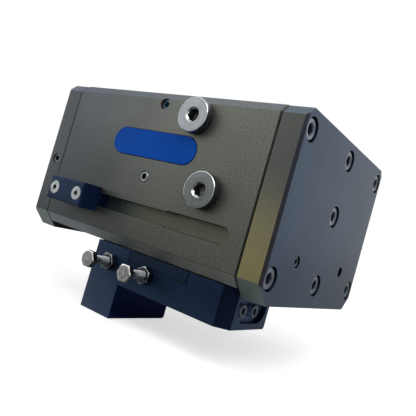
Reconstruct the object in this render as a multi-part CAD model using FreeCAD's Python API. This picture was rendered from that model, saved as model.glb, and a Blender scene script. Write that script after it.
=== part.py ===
import FreeCAD, Part
import math
import os

# Long-stroke parallel gripper: a pneumatic housing between two end covers, two base jaws on guide rods, a
# piston for each jaw, and racks on a common pinion that make both jaws travel alike.
# Millimetres. +X runs along the stroke, -Y is the front face, +Z points up to the robot. The origin is the
# centre of the top mounting face. The jaws are drawn closed. The rear jaw is the front one turned half round.

V = FreeCAD.Vector
ALONG_X = V(1, 0, 0)
ALONG_Y = V(0, 1, 0)
ALONG_Z = V(0, 0, 1)

# Housing block and end covers
BODY_DEPTH = 102.0
BODY_HEIGHT = 72.9
TOP_CHAMFER = 4.0
LOW_CHAMFER = 7.7
SEAM_BREAK = 0.4
COVER_THICKNESS = 11.0
COVER_DROP = 3.1
COVER_TOP_DIP = 0.3
COVER_CORNER = 1.2
COVER_SCREW_EDGE = 6.2
COVER_SCREW_TOP = 8.0
COVER_SCREW_MIDDLE = 34.0
COVER_SCREW_LOW = 10.3
COVER_SCREW_DEPTH = 14.0
HEAD_RECESS = 0.7

# Stroke of one jaw, and the pieces in line with each piston
STROKE = 35.0
END_GAP = 0.5
PISTON_LENGTH = 12.0
GLAND_RING = 1.2
GLAND_LENGTH = 11.3
DRIVER_GAP = 1.5
DRIVER_LENGTH = 10.0
NUT_SPACE = 11.0

# Cylinder bores
BORE = 32.0
BORE_TOP_WALL = 10.5
BORE_SIDE_WALL = 9.0
RELIEF_BORE = 28.0
BORE_FLOOR = 2.5
RING_GROOVE = 1.2
PISTON_ROD = 10.0
ROD_NOSE = 8.0
PISTON_GAP = 0.1
SEAL_GAP = 0.03
SEAL_WIDTH = 2.6
SEAL_DEPTH = 2.2
SEAL_EDGE = 2.0
PISTON_NUT_RECESS = 5.0
NUT_AF = 13.0
NUT_HEIGHT = 5.0

# Channels, guide rods and bushes
CHANNEL_WALL = 9.0
WEB = 13.0
JAW_GAP = 0.4
GUIDE_ROD = 8.0
GUIDE_SEAT = 7.0
GUIDE_WALL = 0.75
BUSH_WALL = 1.0
BUSH_LENGTH = 12.0
BUSH_GAP = 0.04
STOP_GAP = 0.3

# Rack and pinion
MODULE = 1.0
PINION_TEETH = 16
PRESSURE_ANGLE = 20.0
ADDENDUM = 0.9
DEDENDUM = 1.25
BACKLASH = 0.16
RACK_BACK = 14.0
RACK_HEIGHT = 6.0
RACK_HEAD_GAP = 2.0
RACK_OVERRUN = 10.0
RACK_SCREW_INSET = 2.9
RACK_SCREWS = 3
PINION_SIDE_GAP = 0.25
PINION_TIP_GAP = 0.75
AXLE = 6.0
AXLE_SEAT = 16.0
AXLE_BUSH_WALL = 1.0
WASHER = 12.0
WASHER_HEIGHT = 1.0
CLIP = 9.0
CLIP_HEIGHT = 0.9
AXLE_TAIL = 1.2

# Base jaws and the driver that joins a jaw to its piston rod
JAW_END = 4.0
JAW_RACK_END = 2.0
JAW_FOOT_GAP = 3.0
DRIVER_WIDTH = 16.0
DRIVER_RISE = 8.0
DRIVER_FOOT = 18.0
DRIVER_FOOT_HEIGHT = 3.0
DRIVER_SLOT_GAP = 0.5
DRIVER_SCREW_SPACING = 9.0
DRIVER_SCREW_REACH = 5.6
TENON_START = 1.3
TENON_LENGTH = 33.8
TENON_GAP = 0.3
TENON_DROP = 3.0
SPIGOT_DROP = 7.5
SPIGOT_FRONT = 7.2
SPIGOT_WIDTH = 17.0

# Finger
FINGER_SETBACK = 4.3
FINGER_DEPTH = 33.3
FINGER_END_GAP = 1.3
FINGER_DROP = 13.8
FINGER_CORNER = 5.2
FINGER_ROUND = 1.5
LEG_FACE = 1.1
LEG_WIDTH = 19.5
LEG_DROP = 29.5
END_POCKET_WIDTH = 23.6
END_POCKET_CENTRE = 23.2
END_POCKET_FLOOR = 11.1
END_POCKET_DEPTH = 2.6
END_POCKET_ROUND = 6.2
END_SCREW_CENTRE = 19.9
END_SCREW_SPACING = 9.5
END_SCREW_DROP = 5.85
FINGER_SCREW_SPACING = 22.0
FINGER_SCREW_INSET = 4.1
BOLT_PLACES = (-9.0, 13.9)
BOLT_DROP = 5.1
BOLT_REACH = 14.6
BOLT_GRIP = 6.5
SEAT_GAP = 0.05

# Front face: name plate, ports, set screws, bracket slot
PLATE_LENGTH = 49.5
PLATE_HEIGHT = 12.6
PLATE_DROP = 25.3
PLATE_THICKNESS = 0.8
PLATE_RECESS = 0.4
PLATE_EDGE_GAP = 0.15
PORT = 9.6
PORT_DEPTH = 10.0
PORT_PLACES = ((20.8, 10.5), (34.6, 40.3))
PLUG_COLLAR = 15.2
PLUG_COLLAR_HEIGHT = 3.3
PLUG_EDGE = 0.6
PLUG_SOCKET = 5.0
PLUG_REACH = 8.0
PORT_SEAL = 14.4
PORT_SEAL_HEIGHT = 1.2
VENT_DROP = 6.0
VENT_SUNK = 1.2
PASSAGE_DROP = 39.9
PASSAGE_DEPTH = 8.0
SIDE_PASSAGE_INSET = 6.1
SIDE_PASSAGE_DROP = 40.9
SLOT_RISE = 17.5
SLOT_END = 51.4
SLOT_WIDTH = 6.2
SLOT_WIDE = 7.2
SLOT_WIDE_START = 15.9
SLOT_DEPTH = 5.5
SLOT_LIP = 2.5
BRACKET_START = -48.5
BRACKET_LENGTH = 24.7
BRACKET_HEIGHT = 11.5
BRACKET_REACH = 10.7
BRACKET_EDGE = 0.5
BRACKET_TONGUE = 2.0
BRACKET_SCREW_SPACING = 16.0
BRACKET_GAP = 0.1

# Mounting pattern on top
MOUNT_SPACING_X = 76.0
MOUNT_SPACING_Y = 80.0
MOUNT_DEPTH = 12.0
HOLE_BREAK = 0.5
DOWEL = 6.0
DOWEL_DEPTH = 10.0

# Standard fasteners: sizes of thread, head, socket, flats and nut
M3 = {"thread": 3.0, "head": 5.5, "height": 3.0, "socket": 2.5}
M4_HEX = {"thread": 4.0, "flats": 7.0, "head": 2.8, "nut": 3.2}
M5 = {"thread": 5.0, "head": 8.5, "height": 5.0, "socket": 4.0}
M3_FLAT = {"thread": 3.0, "head": 6.4, "height": 1.7, "socket": 2.0}
SET_SOCKET = 2.5
M6_THREAD = 6.0
THREAD_GAP = 0.1
COUNTERBORE_GAP = 1.3
FLAT_SOCKET_DEPTH = 1.0

# Fineness of drawn curves, and how close two places count as one
FLANK_POINTS = 5
SAME = 1e-6
STRAIGHT = 0.99

# Places worked out from the sizes above
BODY_LENGTH = (2 * END_GAP + PISTON_LENGTH + 2 * STROKE + GLAND_RING + GLAND_LENGTH + DRIVER_GAP
               + DRIVER_LENGTH + NUT_SPACE)
HALF = BODY_LENGTH / 2
END = HALF + COVER_THICKNESS
FRONT = -BODY_DEPTH / 2
FLOOR = -BODY_HEIGHT
COVER_FLOOR = FLOOR - COVER_DROP
BORE_Y = FRONT + BORE_SIDE_WALL + BORE / 2
BORE_Z = -BORE_TOP_WALL - BORE / 2
CEILING = BORE_Z - BORE / 2 - BORE_FLOOR
PISTON_END = -HALF + END_GAP + STROKE + PISTON_LENGTH
GLAND_START = PISTON_END + END_GAP + GLAND_RING
GLAND_END = GLAND_START + GLAND_LENGTH
DRIVER_START = GLAND_END + DRIVER_GAP + STROKE
DRIVER_END = DRIVER_START + DRIVER_LENGTH
CHANNEL_FRONT = FRONT + CHANNEL_WALL
JAW_START = -RACK_OVERRUN - JAW_RACK_END
JAW_STOP = DRIVER_END + JAW_END
JAW_TOP = CEILING - JAW_GAP
JAW_BOTTOM = FLOOR + JAW_FOOT_GAP
JAW_INNER = -WEB / 2 - JAW_GAP
RACK_TOP = CEILING - M3["height"] - RACK_HEAD_GAP
RACK_SEAT = RACK_TOP - RACK_HEIGHT
PITCH = MODULE * PINION_TEETH / 2
BUSH = GUIDE_ROD + 2 * BUSH_WALL
BUSH_INSET = GUIDE_WALL + BUSH / 2
GUIDE_YS = (CHANNEL_FRONT + JAW_GAP + BUSH_INSET, -RACK_BACK - BUSH_INSET)
GUIDE_Z = JAW_BOTTOM + BUSH_INSET
STOP_Z = GUIDE_Z + (GUIDE_ROD + M5["thread"]) / 2 + STOP_GAP
SLOT_Z = FLOOR + SLOT_RISE
TENON_TOP = FLOOR - TENON_GAP
TENON_BOTTOM = COVER_FLOOR - TENON_DROP
FINGER_FRONT = FRONT + FINGER_SETBACK
FINGER_BACK = FINGER_FRONT + FINGER_DEPTH
FINGER_END = HALF - FINGER_END_GAP
SPIGOT_Y = FINGER_FRONT + SPIGOT_FRONT
SPIGOT_BOTTOM = TENON_BOTTOM - SPIGOT_DROP
BRACKET_MIDDLE = BRACKET_START + BRACKET_LENGTH / 2
TENON_MIDDLE = TENON_START + TENON_LENGTH / 2


def block(x, y, z):
    return Part.makeBox(x[1] - x[0], y[1] - y[0], z[1] - z[0], V(x[0], y[0], z[0]))


def cylinder(at, direction, diameter, length):
    return Part.makeCylinder(diameter / 2, length, at, direction)


def ring(at, direction, outer, inner, length):
    return cylinder(at, direction, outer, length).cut(cylinder(at, direction, inner, length))


def cone(at, direction, start, end, length):
    return Part.makeCone(start / 2, end / 2, length, at, direction)


def broken_hole(at, into, diameter, depth):
    """Hole with its mouth chamfered."""
    mouth = cone(at, into, diameter + 2 * HOLE_BREAK, diameter, HOLE_BREAK)
    return mouth.fuse(cylinder(at, into, diameter, depth))


def hexagon(at, direction, across_flats, length):
    side = V(0, 0, 1) if abs(direction.z) < 0.5 else V(1, 0, 0)
    other = direction.cross(side)
    reach = across_flats / math.sqrt(3)
    turns = [math.pi / 3 * k for k in range(7)]
    points = [at + side * (reach * math.cos(a)) + other * (reach * math.sin(a)) for a in turns]
    return Part.Face(Part.makePolygon(points)).extrude(direction * length)


def polygon_x(outline, start, end):
    points = [V(start, y, z) for y, z in outline]
    return Part.Face(Part.makePolygon(points + points[:1])).extrude(V(end - start, 0, 0))


def polygon_z(outline, bottom, height):
    points = [V(x, y, bottom) for x, y in outline]
    return Part.Face(Part.makePolygon(points + points[:1])).extrude(V(0, 0, height))


def half_turn(shape):
    turned = shape.copy()
    turned.rotate(V(0, 0, 0), ALONG_Z, 180)
    return turned


def fused(shapes):
    return shapes[0].multiFuse(shapes[1:]).removeSplitter()


def edges_where(shape, test):
    return [e for e in shape.Edges if all(test(v.Point) for v in e.Vertexes)]


def at_x(place):
    return lambda p: abs(p.x - place) < SAME


def slot_shape(start, end, width, z, outer, depth):
    """Slot on the front face with round ends, from the outer plane inwards."""
    radius = width / 2
    middle = block((start + radius, end - radius), (outer, outer + depth), (z - radius, z + radius))
    rounds = [cylinder(V(x, outer, z), ALONG_Y, width, depth) for x in (start + radius, end - radius)]
    return fused([middle] + rounds)


def cap_screw(seat, into, size, length):
    """Socket head cap screw; seat is the middle of the face under its head."""
    shank = cylinder(seat, into, size["thread"] - THREAD_GAP, length)
    head = cylinder(seat, into * -1, size["head"], size["height"])
    top = seat - into * size["height"]
    return head.fuse(shank).cut(hexagon(top, into, size["socket"], size["height"] / 2))


def flat_screw(top, into, size, length):
    """Countersunk screw; top is the middle of its flush head."""
    head = cone(top, into, size["head"], size["thread"] - THREAD_GAP, size["height"])
    shank = cylinder(top, into, size["thread"] - THREAD_GAP, length)
    return head.fuse(shank).cut(hexagon(top, into, size["socket"], FLAT_SOCKET_DEPTH))


def set_screw(top, into, thread, length):
    body = cylinder(top, into, thread - THREAD_GAP, length)
    return body.cut(hexagon(top, into, SET_SOCKET, SET_SOCKET))


def flat_screw_seat(top, into, size, length):
    head = cone(top, into, size["head"] + SEAT_GAP, size["thread"], size["height"])
    return head.fuse(cylinder(top, into, size["thread"], length))


def cover_screw_places():
    """Seven screws of an end cover, as (y, z)."""
    edge = -FRONT - COVER_SCREW_EDGE
    low = COVER_FLOOR + COVER_SCREW_LOW
    rows = [(y, z) for z in (-COVER_SCREW_TOP, low) for y in (-edge, 0, edge)]
    return rows + [(0, -COVER_SCREW_MIDDLE)]


def mount_places():
    return [(x, y) for x in (-MOUNT_SPACING_X / 2, MOUNT_SPACING_X / 2)
            for y in (-MOUNT_SPACING_Y / 2, MOUNT_SPACING_Y / 2)]


def plate_outline(top, floor, chamfer):
    """Cross-section of the housing or a cover, with its long edges chamfered."""
    right = [(-FRONT, floor + chamfer), (-FRONT, top - TOP_CHAMFER), (-FRONT - TOP_CHAMFER, top)]
    left = [(-y, z) for y, z in reversed(right)]
    low = [(FRONT + chamfer, floor), (-FRONT - chamfer, floor)]
    return low + right + left


def cylinder_cut():
    """Front cylinder: bore, gland ring groove, relief bore and the driver's slot into the channel."""
    start = V(-HALF, BORE_Y, BORE_Z)
    bore = cylinder(start, ALONG_X, BORE, GLAND_END + HALF)
    seat = V(GLAND_START - GLAND_RING, BORE_Y, BORE_Z)
    groove = cylinder(seat, ALONG_X, BORE + 2 * RING_GROOVE, GLAND_RING)
    relief = cylinder(V(GLAND_END, BORE_Y, BORE_Z), ALONG_X, RELIEF_BORE, HALF - GLAND_END)
    reach = DRIVER_WIDTH / 2 + DRIVER_SLOT_GAP
    slot = block((GLAND_END, HALF), (BORE_Y - reach, BORE_Y + reach), (CEILING, BORE_Z))
    return fused([bore, groove, relief, slot])


def slot_cut():
    """Bracket slot: narrow lips, a wide entry at the right and a wide bed behind the lips."""
    narrow = slot_shape(-SLOT_END, SLOT_END, SLOT_WIDTH, SLOT_Z, FRONT, SLOT_DEPTH)
    entry = slot_shape(SLOT_WIDE_START, SLOT_END, SLOT_WIDE, SLOT_Z, FRONT, SLOT_DEPTH)
    bed = slot_shape(-SLOT_END, SLOT_END, SLOT_WIDE, SLOT_Z, FRONT + SLOT_LIP, SLOT_DEPTH - SLOT_LIP)
    return fused([narrow, entry, bed])


def port_cut(side):
    """The two ports of the front face, or their half-turned twins at the back."""
    holes = [broken_hole(V(x, FRONT, -drop), ALONG_Y, PORT, PORT_DEPTH) for x, drop in PORT_PLACES]
    holes = Part.makeCompound(holes)
    return holes if side == "front" else half_turn(holes)


def housing():
    outline = plate_outline(0, FLOOR, LOW_CHAMFER - COVER_DROP)
    solid = polygon_x(outline, -HALF, HALF)
    for place in (-HALF, HALF):
        solid = solid.makeChamfer(SEAM_BREAK, edges_where(solid, at_x(place)))
    channel = block((-HALF, HALF), (CHANNEL_FRONT, -WEB / 2), (FLOOR, CEILING))
    tools = [channel, half_turn(channel), cylinder_cut(), half_turn(cylinder_cut()), slot_cut()]
    tools += [port_cut("front"), port_cut("back")]
    tip = PITCH + ADDENDUM * MODULE + PINION_TIP_GAP
    pocket_top = RACK_TOP + PINION_SIDE_GAP
    tools.append(cylinder(V(0, 0, FLOOR), ALONG_Z, 2 * tip, pocket_top - FLOOR))
    tools.append(cylinder(V(0, 0, pocket_top), ALONG_Z, AXLE, AXLE_SEAT))
    for end in (-1, 1):
        for y, z in cover_screw_places():
            tools.append(cylinder(V(end * HALF, y, z), ALONG_X * -end, M5["thread"], COVER_SCREW_DEPTH))
    for x, y in mount_places():
        tools.append(broken_hole(V(x, y, 0), ALONG_Z * -1, M6_THREAD, MOUNT_DEPTH))
    for x in (-MOUNT_SPACING_X / 2, MOUNT_SPACING_X / 2):
        tools.append(broken_hole(V(x, 0, 0), ALONG_Z * -1, DOWEL, DOWEL_DEPTH))
    for drop in (VENT_DROP, PASSAGE_DROP):
        tools.append(cylinder(V(0, FRONT, -drop), ALONG_Y, M5["thread"], PASSAGE_DEPTH))
    tools.append(name_plate_shape(0, PLATE_RECESS))
    return solid.cut(Part.makeCompound(tools))


def name_plate_shape(gap, depth):
    reach = PLATE_LENGTH / 2 - gap
    height = PLATE_HEIGHT - 2 * gap
    return slot_shape(-reach, reach, height, -PLATE_DROP, FRONT, depth)


def name_plate():
    plate = name_plate_shape(PLATE_EDGE_GAP, PLATE_THICKNESS)
    plate.translate(V(0, PLATE_RECESS - PLATE_THICKNESS, 0))
    return plate


def right_cover():
    """End cover with counterbored screw holes, rod seats, stop screw threads and an air passage."""
    outline = plate_outline(-COVER_TOP_DIP, COVER_FLOOR, LOW_CHAMFER)
    solid = polygon_x(outline, HALF, END)
    upright = [e for e in edges_where(solid, at_x(END))
               if abs(e.tangentAt(e.FirstParameter).z) > STRAIGHT]
    solid = solid.makeChamfer(COVER_CORNER, upright)
    solid = solid.makeChamfer(SEAM_BREAK, edges_where(solid, at_x(HALF)))
    tools = []
    bore = M5["head"] + COUNTERBORE_GAP
    depth = M5["height"] + HEAD_RECESS
    for y, z in cover_screw_places():
        tools.append(cylinder(V(HALF, y, z), ALONG_X, M5["thread"], COVER_THICKNESS))
        tools.append(cylinder(V(END - depth, y, z), ALONG_X, bore, depth))
    for side in (-1, 1):
        tools.append(cylinder(V(HALF, side * BORE_Y, STOP_Z), ALONG_X, M5["thread"], COVER_THICKNESS))
        for y in GUIDE_YS:
            tools.append(cylinder(V(HALF, side * y, GUIDE_Z), ALONG_X, GUIDE_ROD, GUIDE_SEAT))
    tools.append(cover_seal_shape())
    inset = HALF + COVER_THICKNESS - SIDE_PASSAGE_INSET
    reach = BORE_SIDE_WALL + BORE / 2
    tools.append(cylinder(V(inset, -FRONT, -SIDE_PASSAGE_DROP), ALONG_Y * -1, M5["thread"], reach))
    tools.append(cylinder(V(HALF, -BORE_Y, -SIDE_PASSAGE_DROP + M5["thread"] / 2), ALONG_X, M3["thread"],
                          inset - HALF))
    return solid.cut(Part.makeCompound(tools))


def cover_screws():
    seat = END - HEAD_RECESS - M5["height"]
    reach = seat - HALF + COVER_SCREW_DEPTH - END_GAP
    return Part.makeCompound([cap_screw(V(seat, y, z), ALONG_X * -1, M5, reach)
                              for y, z in cover_screw_places()])


def cover_seal_shape():
    """Flat sealing ring of the rear cylinder in the right cover's inner face."""
    inner = BORE + 2 * SEAL_DEPTH
    return ring(V(HALF, -BORE_Y, BORE_Z), ALONG_X, inner + 2 * SEAL_WIDTH, inner, SEAL_DEPTH)


def cover_passage_screw():
    top = V(END - SIDE_PASSAGE_INSET, -FRONT - END_GAP, -SIDE_PASSAGE_DROP)
    return set_screw(top, ALONG_Y * -1, M5["thread"], PASSAGE_DEPTH)


def stop_screw():
    """Closing stop of the front jaw, through the right cover up to the jaw's end."""
    top = END - HEAD_RECESS
    tip = JAW_STOP + JAW_GAP
    return set_screw(V(top, BORE_Y, STOP_Z), ALONG_X * -1, M5["thread"], top - tip)


def guide_rods():
    length = BODY_LENGTH + 2 * (GUIDE_SEAT - END_GAP)
    start = -HALF - GUIDE_SEAT + END_GAP
    diameter = GUIDE_ROD - 2 * SEAL_GAP
    return Part.makeCompound([cylinder(V(start, y, GUIDE_Z), ALONG_X, diameter, length) for y in GUIDE_YS])


def port_plugs():
    plugs = []
    for x, drop in PORT_PLACES:
        seat = V(x, FRONT - PORT_SEAL_HEIGHT, -drop)
        collar = cylinder(seat, ALONG_Y * -1, PLUG_COLLAR, PLUG_COLLAR_HEIGHT)
        outer = edges_where(collar, lambda p: abs(p.y - seat.y + PLUG_COLLAR_HEIGHT) < SAME)
        collar = collar.makeChamfer(PLUG_EDGE, outer)
        thread = cylinder(seat, ALONG_Y, PORT - THREAD_GAP, PORT_SEAL_HEIGHT + PLUG_REACH)
        top = seat - ALONG_Y * PLUG_COLLAR_HEIGHT
        plugs.append(collar.fuse(thread).cut(hexagon(top, ALONG_Y, PLUG_SOCKET, PLUG_SOCKET)))
    return Part.makeCompound(plugs)


def port_seals():
    rings = []
    for x, drop in PORT_PLACES:
        seat = V(x, FRONT, -drop)
        rings.append(ring(seat, ALONG_Y * -1, PORT_SEAL, PORT, PORT_SEAL_HEIGHT))
    return Part.makeCompound(rings)


def vent_screw():
    return set_screw(V(0, FRONT + VENT_SUNK, -VENT_DROP), ALONG_Y, M5["thread"], PASSAGE_DEPTH - VENT_SUNK)


def passage_screw():
    return set_screw(V(0, FRONT, -PASSAGE_DROP), ALONG_Y, M5["thread"], PASSAGE_DEPTH)


def bracket_screw_places():
    return [BRACKET_MIDDLE - BRACKET_SCREW_SPACING / 2, BRACKET_MIDDLE + BRACKET_SCREW_SPACING / 2]


def sensor_bracket():
    """Block on the front face with a tongue between the slot's lips and two countersunk holes."""
    half = BRACKET_HEIGHT / 2
    outer = FRONT - BRACKET_REACH
    body = block((BRACKET_START, BRACKET_START + BRACKET_LENGTH), (outer, FRONT - BRACKET_GAP),
                 (SLOT_Z - half, SLOT_Z + half))
    body = body.makeChamfer(BRACKET_EDGE, edges_where(body, lambda p: abs(p.y - outer) < SAME))
    wide = SLOT_WIDTH / 2 - BRACKET_GAP
    tongue = block((BRACKET_START + BRACKET_EDGE, BRACKET_START + BRACKET_LENGTH - BRACKET_EDGE),
                   (FRONT - BRACKET_GAP, FRONT + BRACKET_TONGUE), (SLOT_Z - wide, SLOT_Z + wide))
    body = body.fuse(tongue)
    length = BRACKET_REACH + BRACKET_TONGUE
    holes = [flat_screw_seat(V(x, outer, SLOT_Z), ALONG_Y, M3_FLAT, length) for x in bracket_screw_places()]
    return body.cut(Part.makeCompound(holes))


def clamp_strip():
    """Strip in the slot's bed that the bracket's screws pull against the lips."""
    wide = SLOT_WIDE / 2 - BRACKET_GAP
    top = FRONT + SLOT_LIP + BRACKET_GAP
    end = BRACKET_START + BRACKET_LENGTH
    strip = block((BRACKET_START, end), (top, FRONT + SLOT_DEPTH - BRACKET_GAP),
                  (SLOT_Z - wide, SLOT_Z + wide))
    holes = [cylinder(V(x, top, SLOT_Z), ALONG_Y, M3["thread"], SLOT_DEPTH) for x in bracket_screw_places()]
    return strip.cut(Part.makeCompound(holes))


def bracket_screws():
    length = BRACKET_REACH + SLOT_DEPTH - 2 * BRACKET_GAP
    outer = FRONT - BRACKET_REACH
    return Part.makeCompound([flat_screw(V(x, outer, SLOT_Z), ALONG_Y, M3_FLAT, length)
                              for x in bracket_screw_places()])


def gland_groove(outer, inner):
    middle = (GLAND_START + GLAND_END - SEAL_WIDTH) / 2
    return ring(V(middle, BORE_Y, BORE_Z), ALONG_X, outer, inner, SEAL_WIDTH)


def rod_gland():
    """Rod guide that closes the front cylinder, with a seal groove outside and one inside."""
    outer = BORE - 2 * SEAL_GAP
    body = ring(V(GLAND_START, BORE_Y, BORE_Z), ALONG_X, outer, PISTON_ROD + 2 * SEAL_GAP, GLAND_LENGTH)
    return body.cut(gland_groove(BORE, BORE - 2 * SEAL_DEPTH)).cut(rod_seal_shape(0))


def gland_seal():
    return gland_groove(BORE - 2 * SEAL_GAP, BORE - 2 * SEAL_DEPTH)


def rod_seal_shape(gap):
    return gland_groove(PISTON_ROD + 2 * SEAL_DEPTH, PISTON_ROD + 2 * gap)


def gland_ring():
    start = V(GLAND_START - GLAND_RING, BORE_Y, BORE_Z)
    return ring(start, ALONG_X, BORE + 2 * RING_GROOVE - 2 * SEAL_GAP, BORE - 2 * RING_GROOVE, GLAND_RING)


def piston_groove(outer, start):
    return ring(V(start, BORE_Y, BORE_Z), ALONG_X, outer, BORE - 2 * SEAL_DEPTH, SEAL_WIDTH)


def piston_seal_starts():
    start = PISTON_END - PISTON_LENGTH
    return [start + SEAL_EDGE, PISTON_END - SEAL_EDGE - SEAL_WIDTH]


def piston():
    start = V(PISTON_END - PISTON_LENGTH, BORE_Y, BORE_Z)
    body = ring(start, ALONG_X, BORE - 2 * PISTON_GAP, ROD_NOSE, PISTON_LENGTH)
    recess = cylinder(start, ALONG_X, NUT_AF * 2 / math.sqrt(3) + COUNTERBORE_GAP, PISTON_NUT_RECESS)
    grooves = [piston_groove(BORE, s) for s in piston_seal_starts()]
    return body.cut(Part.makeCompound([recess] + grooves))


def piston_seals():
    return Part.makeCompound([piston_groove(BORE - 2 * SEAL_GAP, s) for s in piston_seal_starts()])


def nut(start, across_flats, bore, height, direction):
    return hexagon(start, direction, across_flats, height).cut(cylinder(start, direction, bore, height))


def piston_nut():
    start = V(PISTON_END - PISTON_LENGTH + PISTON_NUT_RECESS - NUT_HEIGHT, BORE_Y, BORE_Z)
    return nut(start, NUT_AF, ROD_NOSE, NUT_HEIGHT, ALONG_X)


def rod_nut():
    return nut(V(DRIVER_END, BORE_Y, BORE_Z), NUT_AF, ROD_NOSE, NUT_HEIGHT, ALONG_X)


def piston_rod():
    """Rod with a shoulder at the piston and one at the driver."""
    nose = ROD_NOSE - THREAD_GAP
    shaft = cylinder(V(PISTON_END, BORE_Y, BORE_Z), ALONG_X, PISTON_ROD, DRIVER_START - PISTON_END)
    start = PISTON_END - PISTON_LENGTH + END_GAP
    thin = cylinder(V(start, BORE_Y, BORE_Z), ALONG_X, nose, DRIVER_END + NUT_HEIGHT + END_GAP - start)
    return shaft.fuse(thin)


def driver_screw_places():
    middle = (2 * DRIVER_START - DRIVER_FOOT) / 2
    step = DRIVER_SCREW_SPACING / 2
    return [(middle + i * step, BORE_Y + j * step) for i in (-1, 1) for j in (-1, 1)]


def driver():
    """Upright that carries the rod's end, on a foot let into the base jaw's top."""
    wide = (BORE_Y - DRIVER_WIDTH / 2, BORE_Y + DRIVER_WIDTH / 2)
    foot_bottom = JAW_TOP - DRIVER_FOOT_HEIGHT
    outline = [(DRIVER_START - DRIVER_FOOT, foot_bottom), (DRIVER_END, foot_bottom),
               (DRIVER_END, BORE_Z + DRIVER_RISE), (DRIVER_START, BORE_Z + DRIVER_RISE),
               (DRIVER_START, JAW_TOP), (DRIVER_START - DRIVER_FOOT, JAW_TOP)]
    points = [V(x, wide[0], z) for x, z in outline]
    body = Part.Face(Part.makePolygon(points + points[:1])).extrude(V(0, DRIVER_WIDTH, 0))
    tools = [cylinder(V(DRIVER_START, BORE_Y, BORE_Z), ALONG_X, ROD_NOSE, DRIVER_LENGTH)]
    for x, y in driver_screw_places():
        tools.append(flat_screw_seat(V(x, y, JAW_TOP), ALONG_Z * -1, M3_FLAT, DRIVER_FOOT_HEIGHT))
    return body.cut(Part.makeCompound(tools))


def driver_screws():
    return Part.makeCompound([flat_screw(V(x, y, JAW_TOP), ALONG_Z * -1, M3_FLAT, DRIVER_SCREW_REACH)
                              for x, y in driver_screw_places()])


def rack_screw_places():
    step = STROKE / (RACK_SCREWS - 1)
    return [(k * step, -RACK_BACK + RACK_SCREW_INSET) for k in range(RACK_SCREWS)]


def finger_screw_places():
    step = FINGER_SCREW_SPACING / 2
    return [(TENON_MIDDLE + k * step, FINGER_BACK - FINGER_SCREW_INSET) for k in (-1, 1)]


def end_screw_places():
    step = END_SCREW_SPACING / 2
    return [(FRONT + END_SCREW_CENTRE + k * step, COVER_FLOOR - END_SCREW_DROP) for k in (-1, 1)]


def base_jaw():
    """Carriage on two guide rods, with a tenon for the finger below the housing and a spigot under it."""
    outer = CHANNEL_FRONT + JAW_GAP
    section = [(outer, JAW_BOTTOM), (JAW_INNER, JAW_BOTTOM), (JAW_INNER, RACK_SEAT), (-RACK_BACK, RACK_SEAT),
               (-RACK_BACK, JAW_TOP), (outer, JAW_TOP)]
    carriage = polygon_x(section, JAW_START, JAW_STOP)
    tenon_x = (TENON_START, TENON_START + TENON_LENGTH)
    neck = block(tenon_x, (outer, FINGER_BACK), (TENON_TOP, JAW_BOTTOM))
    tenon = block(tenon_x, (FINGER_FRONT, FINGER_BACK), (TENON_BOTTOM, TENON_TOP))
    spigot = block(tenon_x, (SPIGOT_Y, SPIGOT_Y + SPIGOT_WIDTH), (SPIGOT_BOTTOM, TENON_BOTTOM))
    solid = fused([carriage, neck, tenon, spigot])
    length = JAW_STOP - JAW_START
    tools = [cylinder(V(JAW_START, y, GUIDE_Z), ALONG_X, BUSH, length) for y in GUIDE_YS]
    reach = DRIVER_WIDTH / 2 + SEAT_GAP
    tools.append(block((DRIVER_START - DRIVER_FOOT - SEAT_GAP, DRIVER_END + SEAT_GAP),
                       (BORE_Y - reach, BORE_Y + reach), (JAW_TOP - DRIVER_FOOT_HEIGHT, JAW_TOP)))
    for x, y in driver_screw_places():
        tools.append(cylinder(V(x, y, JAW_TOP), ALONG_Z * -1, M3["thread"], DRIVER_SCREW_REACH + END_GAP))
    for x, y in rack_screw_places():
        tools.append(cylinder(V(x, y, RACK_SEAT), ALONG_Z * -1, M3["thread"], RACK_HEIGHT))
    for x, y in finger_screw_places():
        tools.append(cylinder(V(x, y, TENON_BOTTOM), ALONG_Z, M3["thread"], TENON_TOP - TENON_BOTTOM))
    for y, z in end_screw_places():
        tools.append(cylinder(V(tenon_x[1], y, z), ALONG_X * -1, M3["thread"], SPIGOT_DROP))
    return solid.cut(Part.makeCompound(tools))


def guide_bushes():
    bushes = []
    for y in GUIDE_YS:
        for x in (JAW_START, JAW_STOP - BUSH_LENGTH):
            bushes.append(ring(V(x, y, GUIDE_Z), ALONG_X, BUSH, GUIDE_ROD + 2 * BUSH_GAP, BUSH_LENGTH))
    return Part.makeCompound(bushes)


def rack():
    """Front rack with straight tooth flanks; a tooth stands at x = 0 when the jaws are closed."""
    start = -RACK_OVERRUN
    end = STROKE + RACK_OVERRUN
    spacing = math.pi * MODULE
    slope = math.tan(math.radians(PRESSURE_ANGLE))
    root = PITCH + DEDENDUM * MODULE
    tip = PITCH - ADDENDUM * MODULE
    half = (spacing / 2 - BACKLASH) / 2
    wide = half + DEDENDUM * MODULE * slope
    narrow = half - ADDENDUM * MODULE * slope
    outline = [(start, -RACK_BACK), (start, -root)]
    first = math.ceil((start + wide) / spacing)
    last = math.floor((end - wide) / spacing)
    for k in range(first, last + 1):
        middle = k * spacing
        outline += [(middle - wide, -root), (middle - narrow, -tip)]
        outline += [(middle + narrow, -tip), (middle + wide, -root)]
    outline += [(end, -root), (end, -RACK_BACK)]
    solid = polygon_z(outline, RACK_SEAT, RACK_HEIGHT)
    holes = [cylinder(V(x, y, RACK_SEAT), ALONG_Z, M3["thread"], RACK_HEIGHT) for x, y in rack_screw_places()]
    return solid.cut(Part.makeCompound(holes))


def rack_screws():
    return Part.makeCompound([cap_screw(V(x, y, RACK_TOP), ALONG_Z * -1, M3, RACK_HEIGHT + M3["head"])
                              for x, y in rack_screw_places()])


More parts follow.
